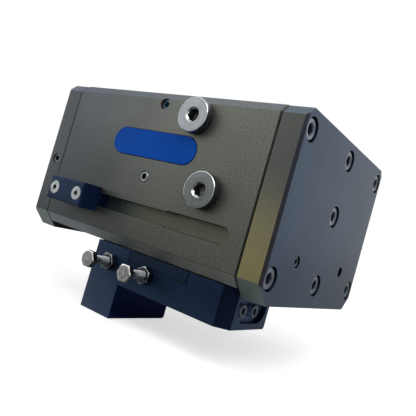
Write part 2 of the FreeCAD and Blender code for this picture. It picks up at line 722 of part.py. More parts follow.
def involute(radius, base):
    """Angle by which an involute on the base circle has turned at the radius."""
    pressure = math.acos(min(1.0, base / radius))
    return math.tan(pressure) - pressure


def polar(radius, angle):
    return V(radius * math.cos(angle), radius * math.sin(angle), 0)


def pinion_flank(centre, side, base, tip, half):
    """Involute edge of one tooth side, from the base circle to the tip."""
    radii = [base + (tip - base) * k / (FLANK_POINTS - 1) for k in range(FLANK_POINTS)]
    curve = Part.BSplineCurve()
    curve.interpolate([polar(r, centre + side * (half - involute(r, base))) for r in radii])
    return curve.toShape()


def pinion():
    """Spur pinion with involute teeth; a tooth space faces each rack's tooth at rest."""
    base = PITCH * math.cos(math.radians(PRESSURE_ANGLE))
    tip = PITCH + ADDENDUM * MODULE
    root = PITCH - DEDENDUM * MODULE
    half = (math.pi * MODULE / 2 - BACKLASH) / (2 * PITCH) + involute(PITCH, base)
    step = 2 * math.pi / PINION_TEETH
    edges = []
    for k in range(PINION_TEETH):
        centre = math.pi / 2 + step * (k + 0.5)
        left, right = centre - half, centre + half
        tip_half = half - involute(tip, base)
        before = centre - step + half
        space = [polar(root, a) for a in (before, centre - step / 2, left)]
        edges.append(Part.Arc(*space).toShape())
        edges.append(Part.makeLine(polar(root, left), polar(base, left)))
        edges.append(pinion_flank(centre, -1, base, tip, half))
        ends = [polar(tip, centre + a) for a in (-tip_half, 0, tip_half)]
        edges.append(Part.Arc(*ends).toShape())
        edges.append(pinion_flank(centre, 1, base, tip, half))
        edges.append(Part.makeLine(polar(base, right), polar(root, right)))
    face = Part.Face(Part.Wire(Part.__sortEdges__(edges)))
    height = RACK_HEIGHT - 2 * PINION_SIDE_GAP
    face.translate(V(0, 0, RACK_SEAT + PINION_SIDE_GAP))
    bush = AXLE + 2 * AXLE_BUSH_WALL
    return face.extrude(V(0, 0, height)).cut(cylinder(V(0, 0, RACK_SEAT), ALONG_Z, bush, RACK_HEIGHT))


def pinion_bush():
    height = RACK_HEIGHT - 2 * PINION_SIDE_GAP
    bottom = V(0, 0, RACK_SEAT + PINION_SIDE_GAP)
    return ring(bottom, ALONG_Z, AXLE + 2 * AXLE_BUSH_WALL, AXLE + 2 * BUSH_GAP, height)


def pinion_axle():
    """Axle pressed into the housing's web, with a tail below the pinion for washer and clip."""
    bottom = RACK_SEAT - WASHER_HEIGHT - CLIP_HEIGHT - AXLE_TAIL
    top = RACK_TOP + PINION_SIDE_GAP + AXLE_SEAT - END_GAP
    return cylinder(V(0, 0, bottom), ALONG_Z, AXLE, top - bottom)


def pinion_washer():
    return ring(V(0, 0, RACK_SEAT - WASHER_HEIGHT), ALONG_Z, WASHER, AXLE, WASHER_HEIGHT)


def pinion_clip():
    return ring(V(0, 0, RACK_SEAT - WASHER_HEIGHT - CLIP_HEIGHT), ALONG_Z, CLIP, AXLE, CLIP_HEIGHT)


def end_pocket():
    """Pocket with round lower corners in the finger's end, open at the top."""
    bottom = COVER_FLOOR - END_POCKET_FLOOR
    middle = FRONT + END_POCKET_CENTRE
    wide = (middle - END_POCKET_WIDTH / 2, middle + END_POCKET_WIDTH / 2)
    body = block((FINGER_END - END_POCKET_DEPTH, FINGER_END), wide, (bottom, TENON_TOP))
    low = [e for e in body.Edges
           if abs(e.CenterOfMass.z - bottom) < SAME and abs(e.tangentAt(0).x) > STRAIGHT]
    return body.makeFillet(END_POCKET_ROUND, low)


def gripper_finger():
    """L-shaped finger: a bar under the housing and a leg, hung on the base jaw's tenon."""
    bar = block((-LEG_FACE - LEG_WIDTH, FINGER_END), (FINGER_FRONT, FINGER_BACK),
                (COVER_FLOOR - FINGER_DROP, TENON_TOP))
    corner = [e for e in edges_where(bar, at_x(FINGER_END))
              if abs(e.CenterOfMass.y - FINGER_FRONT) < SAME and abs(e.tangentAt(0).z) > STRAIGHT]
    bar = bar.makeChamfer(FINGER_CORNER, corner)
    leg = block((-LEG_FACE - LEG_WIDTH, -LEG_FACE), (FINGER_FRONT, JAW_INNER),
                (COVER_FLOOR - LEG_DROP, TENON_TOP))
    bar = round_low_back(bar, FINGER_BACK, COVER_FLOOR - FINGER_DROP)
    leg = round_low_back(leg, JAW_INNER, COVER_FLOOR - LEG_DROP)
    solid = fused([bar, leg])
    tenon_x = (TENON_START - SEAT_GAP, TENON_START + TENON_LENGTH + SEAT_GAP)
    tools = [block(tenon_x, (FINGER_FRONT, FINGER_BACK), (TENON_BOTTOM, TENON_TOP)),
             block(tenon_x, (SPIGOT_Y - SEAT_GAP, SPIGOT_Y + SPIGOT_WIDTH + SEAT_GAP),
                   (SPIGOT_BOTTOM - SEAT_GAP, TENON_BOTTOM)), end_pocket()]
    bottom = COVER_FLOOR - FINGER_DROP
    for x, y in finger_screw_places():
        tools.append(cylinder(V(x, y, bottom), ALONG_Z, M3["thread"], TENON_BOTTOM - bottom))
        tools.append(cylinder(V(x, y, bottom), ALONG_Z, M3["head"] + COUNTERBORE_GAP,
                              M3["height"] + HEAD_RECESS))
    for y, z in end_screw_places():
        tools.append(cylinder(V(tenon_x[1], y, z), ALONG_X, M3["thread"], FINGER_END - tenon_x[1]))
    for x in BOLT_PLACES:
        at = V(x, FINGER_FRONT, COVER_FLOOR - BOLT_DROP)
        tools.append(cylinder(at, ALONG_Y, M4_HEX["thread"], BOLT_GRIP))
    return solid.cut(Part.makeCompound(tools))


def round_low_back(solid, back, bottom):
    low = [e for e in solid.Edges
           if abs(e.CenterOfMass.y - back) < SAME and abs(e.CenterOfMass.z - bottom) < SAME]
    return solid.makeFillet(FINGER_ROUND, low)


def finger_screws():
    seat = COVER_FLOOR - FINGER_DROP + M3["height"] + HEAD_RECESS
    reach = TENON_TOP - END_GAP - seat
    return Part.makeCompound([cap_screw(V(x, y, seat), ALONG_Z, M3, reach) for x, y in finger_screw_places()])


def finger_end_screws():
    seat = FINGER_END - END_POCKET_DEPTH
    reach = seat - TENON_START - TENON_LENGTH + SPIGOT_DROP - END_GAP
    return Part.makeCompound([cap_screw(V(seat, y, z), ALONG_X * -1, M3, reach)
                              for y, z in end_screw_places()])


def finger_bolts():
    bolts = []
    for x in BOLT_PLACES:
        top = V(x, FINGER_FRONT - BOLT_REACH, COVER_FLOOR - BOLT_DROP)
        head = hexagon(top, ALONG_Y, M4_HEX["flats"], M4_HEX["head"])
        shank = cylinder(top, ALONG_Y, M4_HEX["thread"] - THREAD_GAP, BOLT_REACH + BOLT_GRIP)
        bolts.append(head.fuse(shank))
    return Part.makeCompound(bolts)


def finger_lock_nuts():
    nuts = []
    for x in BOLT_PLACES:
        start = V(x, FINGER_FRONT, COVER_FLOOR - BOLT_DROP)
        nuts.append(nut(start, M4_HEX["flats"], M4_HEX["thread"], M4_HEX["nut"], ALONG_Y * -1))
    return Part.makeCompound(nuts)


def with_twin(shape):
    return Part.makeCompound([shape, half_turn(shape)])


def parts():
    nodes = {
        "housing": housing(),
        "right_cover": right_cover(),
        "left_cover": half_turn(right_cover()),
        "right_cover_screws": cover_screws(),
        "left_cover_screws": half_turn(cover_screws()),
        "cover_seals": with_twin(cover_seal_shape()),
        "cover_passage_screws": with_twin(cover_passage_screw()),
        "stop_screws": with_twin(stop_screw()),
        "name_plate": name_plate(),
        "port_plugs": port_plugs(),
        "port_seals": port_seals(),
        "vent_screw": vent_screw(),
        "passage_screw": passage_screw(),
        "sensor_bracket": sensor_bracket(),
        "bracket_screws": bracket_screws(),
        "clamp_strip": clamp_strip(),
        "gland_seals": with_twin(gland_seal()),
        "rod_seals": with_twin(rod_seal_shape(SEAL_GAP)),
        "gland_rings": with_twin(gland_ring()),
        "pinion": pinion(),
        "pinion_bush": pinion_bush(),
        "pinion_axle": pinion_axle(),
        "pinion_washer": pinion_washer(),
        "pinion_clip": pinion_clip(),
        "gripper_finger": gripper_finger(),
        "finger_screws": finger_screws(),
        "finger_end_screws": finger_end_screws(),
        "finger_bolts": finger_bolts(),
        "finger_lock_nuts": finger_lock_nuts(),
    }
    paired = (guide_rods, rod_gland, base_jaw, guide_bushes, rack, rack_screws, piston, piston_seals,
              piston_nut, piston_rod, rod_nut, driver, driver_screws)
    for make in paired:
        nodes["front_" + make.__name__] = make()
        nodes["rear_" + make.__name__] = half_turn(make())
    return nodes


os.makedirs("parts", exist_ok=True)
for node, shape in parts().items():
    shape.exportStep("parts/" + node + ".step")
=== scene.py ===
import math

import bmesh
import bpy
from mathutils import Matrix, Vector


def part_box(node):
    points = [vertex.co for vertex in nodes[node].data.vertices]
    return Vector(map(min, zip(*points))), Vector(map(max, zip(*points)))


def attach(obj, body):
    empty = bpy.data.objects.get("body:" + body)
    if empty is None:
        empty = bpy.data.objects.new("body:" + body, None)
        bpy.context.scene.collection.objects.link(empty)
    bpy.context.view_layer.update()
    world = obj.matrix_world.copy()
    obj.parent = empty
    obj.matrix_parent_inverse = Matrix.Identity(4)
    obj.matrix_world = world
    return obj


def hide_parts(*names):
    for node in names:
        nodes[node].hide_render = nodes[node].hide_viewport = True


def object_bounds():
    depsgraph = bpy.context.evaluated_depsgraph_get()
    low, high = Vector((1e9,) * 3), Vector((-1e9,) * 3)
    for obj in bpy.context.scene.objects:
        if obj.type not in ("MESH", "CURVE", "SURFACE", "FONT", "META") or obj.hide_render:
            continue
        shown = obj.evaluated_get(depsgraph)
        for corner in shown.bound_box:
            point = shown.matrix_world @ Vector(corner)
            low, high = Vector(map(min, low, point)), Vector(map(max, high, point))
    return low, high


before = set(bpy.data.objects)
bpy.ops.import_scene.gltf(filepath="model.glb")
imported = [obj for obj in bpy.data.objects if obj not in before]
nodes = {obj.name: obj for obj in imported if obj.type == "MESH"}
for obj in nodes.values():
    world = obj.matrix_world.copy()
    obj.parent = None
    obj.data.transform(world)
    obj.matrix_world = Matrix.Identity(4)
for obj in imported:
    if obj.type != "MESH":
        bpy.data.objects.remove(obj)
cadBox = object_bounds()
mm = 0.001
turn = 2 * math.pi
weld = 0.0005 * mm   # vertices nearer than this are one
cadWeld = 0.001 * mm   # the same for meshes from the CAD nodes
same = 0.01 * mm   # lengths that differ less than this are equal
print("frame loaded,", len(nodes), "nodes")


def linear(hexColour):   # sRGB hex to the linear colour that the shaders use
    parts = [int(hexColour[k:k + 2], 16) / 255 for k in (1, 3, 5)]
    flat = [c / 12.92 if c <= 0.04045 else ((c + 0.055) / 1.055) ** 2.4 for c in parts]
    return (*flat, 1.0)


def addNode(tree, kind, settings, links):   # an int key is an input's number, a word its name or a setting
    node = tree.nodes.new(kind)
    for key, value in settings.items():
        if isinstance(key, int) or key in node.inputs:
            node.inputs[key].default_value = value
        else:
            setattr(node, key, value)
    for key, source in links.items():
        tree.links.new(source, node.inputs[key])
    return node


def perMetre(sizeInMm):   # texture scale that makes one feature about this large
    return 1 / (sizeInMm * mm)


def newFinish(name):
    finish = bpy.data.materials.new(name)
    finish.use_nodes = True
    return finish, finish.node_tree.nodes["Principled BSDF"]


def objectPlace(tree):
    return addNode(tree, "ShaderNodeTexCoord", {}, {}).outputs["Object"]


def blended(tree, first, second, share):   # from the first colour to the second
    tones = {"data_type": "RGBA", 6: linear(first), 7: linear(second)}
    return addNode(tree, "ShaderNodeMix", tones, {0: share}).outputs[2]


def drifted(tree, place, colour, drifts):   # the colour is multiplied by tints that change slowly along an axis of the piece
    split = addNode(tree, "ShaderNodeSeparateXYZ", {}, {"Vector": place})
    for drift in drifts:
        start, end = drift["mm"]
        along = addNode(tree, "ShaderNodeMapRange",
                        {"From Min": start * mm, "From Max": end * mm, "interpolation_type": "SMOOTHSTEP"},
                        {"Value": split.outputs[drift["axis"]]})
        tint = blended(tree, *drift["tints"], along.outputs["Result"])
        colour = addNode(tree, "ShaderNodeMix", {"data_type": "RGBA", "blend_type": "MULTIPLY", 0: 1.0},
                         {6: colour, 7: tint}).outputs[2]
    return colour


noiseSpan = {"From Min": 0.3, "From Max": 0.7}   # noise seldom leaves this span
grainDepth, ringDepth = 0.15, 0.1   # height of the relief, as a share of the grain's or the ring's size


def dress(tree, shader, place, look, marks, fine, depth):   # marks give the tone, fine the gloss and relief
    spread = addNode(tree, "ShaderNodeMapRange", noiseSpan, {"Value": marks})
    tone = blended(tree, look["dark"], look["light"], spread.outputs["Result"])
    smooth, rough = look["rough"]
    gloss = addNode(tree, "ShaderNodeMapRange", {**noiseSpan, "To Min": smooth, "To Max": rough},
                    {"Value": fine})
    relief = addNode(tree, "ShaderNodeBump", {"Strength": look["bump"], "Distance": depth * mm},
                     {"Height": fine})
    tree.links.new(drifted(tree, place, tone, look.get("drifts", [])), shader.inputs["Base Color"])
    tree.links.new(gloss.outputs["Result"], shader.inputs["Roughness"])
    tree.links.new(relief.outputs["Normal"], shader.inputs["Normal"])
    shader.inputs["Metallic"].default_value = look.get("metallic", 1.0)
    shader.inputs["Specular IOR Level"].default_value = look.get("specular", 0.5)


def metalFinish(name, look):   # two close tones clouded over the face, a fine grain in tone, gloss and height
    finish, shader = newFinish(name)
    tree = finish.node_tree
    place = objectPlace(tree)
    stretch = addNode(tree, "ShaderNodeMapping", {"Scale": look.get("stretch", (1, 1, 1))}, {"Vector": place})
    clouds = addNode(tree, "ShaderNodeTexNoise", {"Scale": perMetre(look["cloudMm"]), "Detail": 3.0},
                     {"Vector": place})
    grain = addNode(tree, "ShaderNodeTexNoise",
                    {"Scale": perMetre(look["grainMm"]), "Detail": 2.0, "Roughness": 0.6},
                    {"Vector": stretch.outputs["Vector"]})
    both = addNode(tree, "ShaderNodeMix", {"data_type": "FLOAT", 0: look["grainShare"]},
                   {2: clouds.outputs["Fac"], 3: grain.outputs["Fac"]})
    if "calm" in look:   # less grain towards the left end
        start, end = look["calm"]["mm"]
        split = addNode(tree, "ShaderNodeSeparateXYZ", {}, {"Vector": place})
        fade = addNode(tree, "ShaderNodeMapRange",
                       {"From Min": start * mm, "From Max": end * mm, "To Min": look["calm"]["share"],
                        "To Max": look["grainShare"]}, {"Value": split.outputs["X"]})
        tree.links.new(fade.outputs["Result"], both.inputs[0])
    dress(tree, shader, place, look, both.outputs[0], grain.outputs["Fac"], look["grainMm"] * grainDepth)
    return finish


def turnedFinish(name, look):   # lathe-turned steel: rings round each piece's own axis, read from its radius
    finish, shader = newFinish(name)
    tree = finish.node_tree
    place = objectPlace(tree)
    radius = addNode(tree, "ShaderNodeAttribute", {"attribute_name": "turnRadius"}, {}).outputs["Fac"]
    rings = addNode(tree, "ShaderNodeTexNoise",
                    {"noise_dimensions": "1D", "Scale": 1 / look["ringMm"], "Detail": 2.0}, {"W": radius})
    stains = addNode(tree, "ShaderNodeTexNoise", {"Scale": perMetre(look["stainMm"]), "Detail": 4.0},
                     {"Vector": place})
    marks = addNode(tree, "ShaderNodeMix", {"data_type": "FLOAT", 0: look.get("ringShare", 0.0)},
                    {2: stains.outputs["Fac"], 3: rings.outputs["Fac"]})
    dress(tree, shader, place, look, marks.outputs[0], rings.outputs["Fac"], look["ringMm"] * ringDepth)
    return finish


# Hard-anodised aluminium, bead blasted: a dull olive grey with a sandy speckle.
# The blasting is finer than a pixel, so the grain is drawn at 0.75 mm to show.
blasted = {
    "dark": "#4a4c4a", "light": "#7d7f79", "cloudMm": 70, "grainMm": 0.75,
    "grainShare": 0.7, "calm": {"share": 0.34, "mm": (-55, 20)},
    # Painted reflection and shade: the tint turns bluer towards the left end and darker towards the bottom.
    "drifts": [{"axis": "X", "mm": (-55, 40), "tints": ("#bec5d4", "#fffffa")},
               {"axis": "Z", "mm": (-70, -5), "tints": ("#e4e4e0", "#ffffff")}],
    "rough": (0.42, 0.56), "bump": 0.35, "metallic": 0.85}
blastedAnodised = metalFinish("hard-anodised aluminium, bead blasted", blasted)

# Painted floor reflection: the housing's low bevels are drawn paler, bluer towards the left end.
blastedPale = metalFinish("hard-anodised aluminium, bead blasted pale", {
    **blasted, "dark": "#6c6e6d", "light": "#aaada9",
    "drifts": [{"axis": "X", "mm": (-55, 40), "tints": ("#eaf2ff", "#f6f6f0")}]})

# Painted light from above: the housing's top bevels are drawn bluer.
blastedBlue = metalFinish("hard-anodised aluminium, bluish bevel", {
    **blasted, "dark": "#4e545a", "light": "#7b8188"})

# Inside the slot the milled film is olive, drawn a little lighter as painted reflection, with the painted
# bluish tint towards the left and painted shade towards the bottom.
milledSlot = metalFinish("hard-anodised aluminium, milled slot", {
    **blasted, "dark": "#50524a", "light": "#86887a",
    "grainShare": 0.5, "calm": {"share": 0.3, "mm": (-55, 20)}, "bump": 0.2,
    "drifts": [{"axis": "X", "mm": (-30, 10), "tints": ("#bcdcff", "#fffffa")},
               {"axis": "Z", "mm": (-70, -5), "tints": ("#e4e4e0", "#ffffff")}]})

# Hard-anodised aluminium, milled: the end covers' broad faces are drawn slate grey and smooth, a painted cool
# reflection on the film, darker towards the back as painted shade.
slate = {"cloudMm": 22, "grainMm": 1.0, "grainShare": 0.25, "rough": (0.34, 0.42), "bump": 0.08,
         "metallic": 0.85}
milledSlate = metalFinish("hard-anodised aluminium, milled slate", {
    **slate, "dark": "#2f4053", "light": "#36485d",
    "drifts": [{"axis": "Y", "mm": (-45, 45), "tints": ("#ffffff", "#e6e6e6")}]})

# Painted light from above: the right cover's top bevels are drawn a paler slate.
paleSlate = metalFinish("hard-anodised aluminium, pale slate", {
    **slate, "dark": "#485867", "light": "#536473"})

# The same film on the covers' saw-cut edges: golden olive as a painted warm reflection, darker and bluer
# towards the top, with faint strokes up the edge.
sawn = {"cloudMm": 26, "grainMm": 0.6, "grainShare": 0.35, "rough": (0.36, 0.46), "bump": 0.12,
        "metallic": 0.85}
upStrokes = (1, 1, 0.08)
milledOlive = metalFinish("hard-anodised aluminium, golden edge", {
    **sawn, "dark": "#7e7964", "light": "#8e886c", "stretch": upStrokes,
    "drifts": [{"axis": "Z", "mm": (-66, -24), "tints": ("#ffffe0", "#99a4c2")}]})

# The left cover's edges are drawn plain grey, without the right cover's painted warm reflection, slightly
# darker towards the top.
milledGrey = metalFinish("hard-anodised aluminium, grey edge", {
    **sawn, "dark": "#383d3f", "light": "#44484b", "stretch": upStrokes,
    "drifts": [{"axis": "Z", "mm": (-60, -5), "tints": ("#ffffff", "#ebebed")}]})

# Painted floor reflection: the covers' low bevels are drawn paler. Painted shade: the right cover's upright
# bevels are drawn darker, and bluer towards the top.
paleEdge = metalFinish("hard-anodised aluminium, pale bevel", {**sawn, "dark": "#6c7a77", "light": "#7e8c89"})
shadedEdge = metalFinish("hard-anodised aluminium, dark bevel", {
    **sawn, "dark": "#434347", "light": "#4f4f53", "stretch": upStrokes,
    "drifts": [{"axis": "Z", "mm": (-70, -10), "tints": ("#fffaff", "#dce4ff")}]})

# Painted shade in the seam: where the right cover meets the block the broken edges are drawn as a dark line.
# At the left cover the painted seam shade is fainter.
seamShade = metalFinish("hard-anodised aluminium, painted seam shade", {
    **sawn, "dark": "#111316", "light": "#191b1f", "cloudMm": 8,
    "rough": (0.4, 0.5), "bump": 0.1, "metallic": 0.6, "specular": 0.2})
faintSeamShade = metalFinish("hard-anodised aluminium, faint painted seam shade", {
    **sawn, "dark": "#393d3f", "light": "#44484a", "cloudMm": 8, "bump": 0.1})

# Black-anodised aluminium, milled: near black with a navy cast and a soft sheen.
blackFilm = {"cloudMm": 14, "grainMm": 0.7, "grainShare": 0.4, "rough": (0.36, 0.5), "bump": 0.12,
             "metallic": 0.75, "specular": 0.2}
blackAnodised = metalFinish("black-anodised aluminium", {**blackFilm, "dark": "#0e182c", "light": "#1a2946"})

# Painted light on the finger's front faces: drawn paler than the other faces, lighter towards the left end
# and down the leg.
frontLitBlack = metalFinish("black-anodised aluminium, painted front light", {
    **blackFilm, "dark": "#445167", "light": "#526178",
    "drifts": [{"axis": "X", "mm": (-45, 15), "tints": ("#ffffff", "#a6bad0")},
               {"axis": "Z", "mm": (-97, -78), "tints": ("#ffffff", "#abbdcb")}]})

# Painted shade: the leg's flank and the sides of the groove round the tenon are drawn deep navy.
shadeNavy = metalFinish("black-anodised aluminium, painted shade", {
    **blackFilm, "dark": "#061438", "light": "#0a1d4c", "cloudMm": 9, "grainShare": 0.3,
    "rough": (0.22, 0.32), "bump": 0.1, "specular": 0.1})

# Painted light: the finger's milled end and the bed of its screws are drawn paler, lifting their shade.
endBlack = metalFinish("black-anodised aluminium, milled end", {
    **blackFilm, "dark": "#192e46", "light": "#213958", "cloudMm": 9})
bedBlack = metalFinish("black-anodised aluminium, milled bed", {
    **blackFilm, "dark": "#3c4c6c", "light": "#4a5c80", "cloudMm": 6, "rough": (0.4, 0.55), "metallic": 0.6})

# The base jaws are of another batch: a greyer black.
greyBlack = metalFinish("black-anodised aluminium, grey", {
    **blackFilm, "dark": "#131e2e", "light": "#1d2c42"})

# The bracket's black film is thinner and a little paler.
thinFilm = {**blackFilm, "cloudMm": 9, "grainMm": 0.5, "rough": (0.34, 0.46)}
paleBlack = metalFinish("black-anodised aluminium, thin film", {
    **thinFilm, "dark": "#0f1d31", "light": "#192d47", "specular": 0.1})

# Painted light: the bracket's right flank and the strip behind it are drawn a lighter navy, lifting their
# shade.
navyBlack = metalFinish("black-anodised aluminium, navy", {
    **thinFilm, "dark": "#213260", "light": "#293f70", "grainShare": 0.3, "bump": 0.1})

# Plain machined aluminium inside the cylinders: pale, with fine strokes along the bore.
plainAluminium = metalFinish("machined aluminium", {
    "dark": "#a9abab", "light": "#c6c8c8", "cloudMm": 12, "grainMm": 0.5, "grainShare": 0.5,
    "stretch": (0.1, 1, 1), "rough": (0.26, 0.38), "bump": 0.1})

# Ground and polished steel of rods, racks and pinion: silver, with strokes along the rods.
groundSteel = metalFinish("ground steel", {
    "dark": "#9a9da1", "light": "#c3c6c9", "cloudMm": 10, "grainMm": 0.4, "grainShare": 0.5,
    "stretch": (0.1, 1, 1), "rough": (0.12, 0.22), "bump": 0.05})

# Sintered bronze of the bushes: warm, slightly porous.
sinteredBronze = metalFinish("sintered bronze", {
    "dark": "#7d5a2c", "light": "#a97c40", "cloudMm": 5, "grainMm": 0.4, "grainShare": 0.7,
    "rough": (0.35, 0.5), "bump": 0.25})

# Moulded rubber of the seals: matt black.
moulded = metalFinish("moulded nitrile rubber", {
    "dark": "#121315", "light": "#1d1e20", "cloudMm": 6, "grainMm": 0.3, "grainShare": 0.5,
    "rough": (0.6, 0.75), "bump": 0.1, "metallic": 0.0})

# Name plate: printed foil, blue ink under a thin clear film.
printedBlue = metalFinish("blue printed foil", {
    "dark": "#00419c", "light": "#004caa", "cloudMm": 9, "grainMm": 0.5, "grainShare": 0.3,
    "rough": (0.4, 0.5), "bump": 0.04, "metallic": 0.0, "specular": 0.05})

# Nickel-plated steel, turned: silver with tool rings on the plugs' faces, darker towards the bottom, so the
# lower plug is darker.
nickelTurned = turnedFinish("nickel-plated steel, turned", {
    "dark": "#6e7276", "light": "#93979b", "ringMm": 0.8, "ringShare": 0.7, "stainMm": 3,
    "drifts": [{"axis": "Z", "mm": (-45, -8), "tints": ("#b4b7b0", "#ffffff")}],
    "rough": (0.2, 0.36), "bump": 0.25})

# Painted highlight: the plugs' broken edges and the cones of their sockets are drawn near white.
rimHighlight = turnedFinish("nickel-plated steel, painted edge highlight", {
    "dark": "#c2c6c9", "light": "#e2e5e7", "ringMm": 0.8, "stainMm": 3, "rough": (0.14, 0.24), "bump": 0.1})

# Painted shade: their sides are drawn darker.
plugSideShade = turnedFinish("nickel-plated steel, painted side shade", {
    "dark": "#5a5d65", "light": "#72757e", "ringMm": 0.8, "stainMm": 3, "rough": (0.26, 0.4), "bump": 0.1})

# The bracket's screws are plated brighter.
nickelBright = turnedFinish("nickel-plated steel, bright", {
    "dark": "#787c7f", "light": "#999d9f", "ringMm": 0.25, "stainMm": 3, "rough": (0.2, 0.36), "bump": 0.25})

# Stainless bolts: silver heads, mottled with a faint straw tint.
stainless = turnedFinish("stainless steel, cold headed", {
    "dark": "#9a9e98", "light": "#f0f2ec", "ringMm": 0.4, "stainMm": 0.7, "rough": (0.16, 0.3), "bump": 0.2})

# Painted highlight: the chamfers of their heads are drawn near white.
chamferHighlight = turnedFinish("stainless steel, painted chamfer highlight", {
    "dark": "#d8d9d0", "light": "#f2f2ea", "ringMm": 0.4, "stainMm": 2, "rough": (0.12, 0.2), "bump": 0.05})

# Painted dark reflection: their threads are drawn darker than the heads.
threadDarkReflection = turnedFinish("stainless steel, painted dark reflection on thread", {
    "dark": "#787a80", "light": "#b4b6bb", "ringMm": 0.4, "stainMm": 1.5, "rough": (0.16, 0.26), "bump": 0.1})

# The nuts and the sides of the heads are drawn darker still, the heads' sides as painted dark reflection;
# painted highlight: the nuts' chamfers are drawn lighter.
headSide = turnedFinish("stainless steel, darker sides and nuts", {
    "dark": "#484b50", "light": "#666a70", "ringMm": 0.4, "stainMm": 1.5, "rough": (0.18, 0.3), "bump": 0.1})
nutEdgeHighlight = turnedFinish("stainless steel, painted nut edge highlight", {
    "dark": "#7c8082", "light": "#a6aaaa", "ringMm": 0.4, "stainMm": 1.5, "rough": (0.2, 0.32), "bump": 0.15})

# Screws of the covers: phosphated steel rubbed grey on the rims.
phosphated = turnedFinish("phosphated steel", {
    "dark": "#63676d", "light": "#878b91", "ringMm": 0.3, "stainMm": 2, "rough": (0.24, 0.36), "bump": 0.2})

# The smaller screws of the finger, the vent and the covers' passages kept more of their dark coat.
darkPhosphated = turnedFinish("phosphated steel, dark", {
    "dark": "#43474f", "light": "#5f646c", "ringMm": 0.3, "stainMm": 2, "rough": (0.26, 0.4), "bump": 0.2})

# Painted light: the knurled sides of the finger's screws are drawn a lighter blue, lifting their shade.
sideFillLight = metalFinish("steel, knurled, painted fill light", {
    "dark": "#56688a", "light": "#6c80a4", "cloudMm": 2, "grainMm": 0.3, "grainShare": 0.4,
    "rough": (0.4, 0.55), "bump": 0.1, "metallic": 0.3, "specular": 0.3})

# Painted shade inside the cap screws' sockets: a dark slate steel.
socketShade = metalFinish("steel, painted socket shade", {
    "dark": "#444c5c", "light": "#5e6678", "cloudMm": 2, "grainMm": 0.3, "grainShare": 0.5,
    "rough": (0.3, 0.45), "bump": 0.1, "metallic": 0.8})

# The sockets of plugs, set screws and bracket screws are plated inside, drawn darker as painted shade, with a
# straw tint.
platedSocket = metalFinish("nickel-plated steel, socket", {
    "dark": "#5c5e66", "light": "#7c7a72", "cloudMm": 3, "grainMm": 0.3, "grainShare": 0.3,
    "rough": (0.24, 0.36), "bump": 0.1})

# The vent screw is sealed with teal varnish.
tealVarnish = metalFinish("sealing varnish, teal", {
    "dark": "#0f3d49", "light": "#226070", "cloudMm": 1.5, "grainMm": 0.3, "grainShare": 0.3,
    "rough": (0.3, 0.45), "bump": 0.1, "metallic": 0.2})
print("finishes made")

milledAngle, turnedAngle = 32, 16   # degrees: edges sharper than this stay sharp in the shading
breakAngle = 28   # degrees: edges sharper than this are broken
flatAngle = 0.5   # degrees: faces that differ less than this are one


def meshOf(bm, name):
    mesh = bpy.data.meshes.new(name)
    bm.to_mesh(mesh)
    bm.free()
    return mesh


def linked(bm, name):   # an object of this mesh in the scene
    thing = bpy.data.objects.new(name, meshOf(bm, name))
    bpy.context.scene.collection.objects.link(thing)
    return thing


def finishPiece(bm, name, body, finishes, replaced, sharpAngle=turnedAngle):
    bmesh.ops.remove_doubles(bm, verts=bm.verts, dist=weld)
    piece = linked(bm, name)
    mesh = piece.data
    for finish in finishes:
        mesh.materials.append(finish)
    mesh.polygons.foreach_set("use_smooth", [True] * len(mesh.polygons))
    mesh.set_sharp_from_angle(angle=math.radians(sharpAngle))
    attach(piece, body)
    if replaced:
        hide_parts(*replaced)
    return piece


def nodeMesh(node):   # merged copy of a CAD node's mesh
    bm = bmesh.new()
    bm.from_mesh(nodes[node].data)
    bmesh.ops.remove_doubles(bm, verts=bm.verts, dist=cadWeld)
    return bm


def reachOf(places):   # lowest and highest corner
    return [Vector([pick(place[k] for place in places) for k in range(3)]) for pick in (min, max)]


def islandBoxes(node):   # box of each separate solid in a CAD node
    bm = nodeMesh(node)
    left = set(bm.verts)
    found = []
    while left:
        patch = [left.pop()]
        for v in patch:
            for e in v.link_edges:
                other = e.other_vert(v)
                if other in left:
                    left.remove(other)
                    patch.append(other)
        found.append(reachOf([v.co for v in patch]))
    bm.free()
    return sorted(found, key=lambda box: tuple(box[0]))


def cutAtScrews(bm, screws):   # parts a face full of holes along its rows of screws, for simpler pieces
    middles = [(low + high) / 2 for low, high in islandBoxes(screws)]
    for axis in (1, 2):
        for row in sorted({round(middle[axis], 5) for middle in middles}):
            at = Vector([row if n == axis else 0 for n in range(3)])
            cut = bmesh.ops.bisect_plane(bm, geom=bm.verts[:] + bm.edges[:] + bm.faces[:], dist=cadWeld,
                                         plane_co=at, plane_no=at.normalized() if row else (0, 1, 0))
            for part in cut["geom_cut"]:
                if isinstance(part, bmesh.types.BMEdge):
                    part.seam = True


def sharpEdges(bm):
    return [e for e in bm.edges if e.is_manifold and e.calc_face_angle() > math.radians(breakAngle)]


def breakEdges(bm, edges, width, steps):
    bmesh.ops.bevel(bm, geom=edges, offset=width * mm, offset_type="OFFSET", segments=steps, profile=0.5,
                    affect="EDGES", clamp_overlap=False, material=-1)


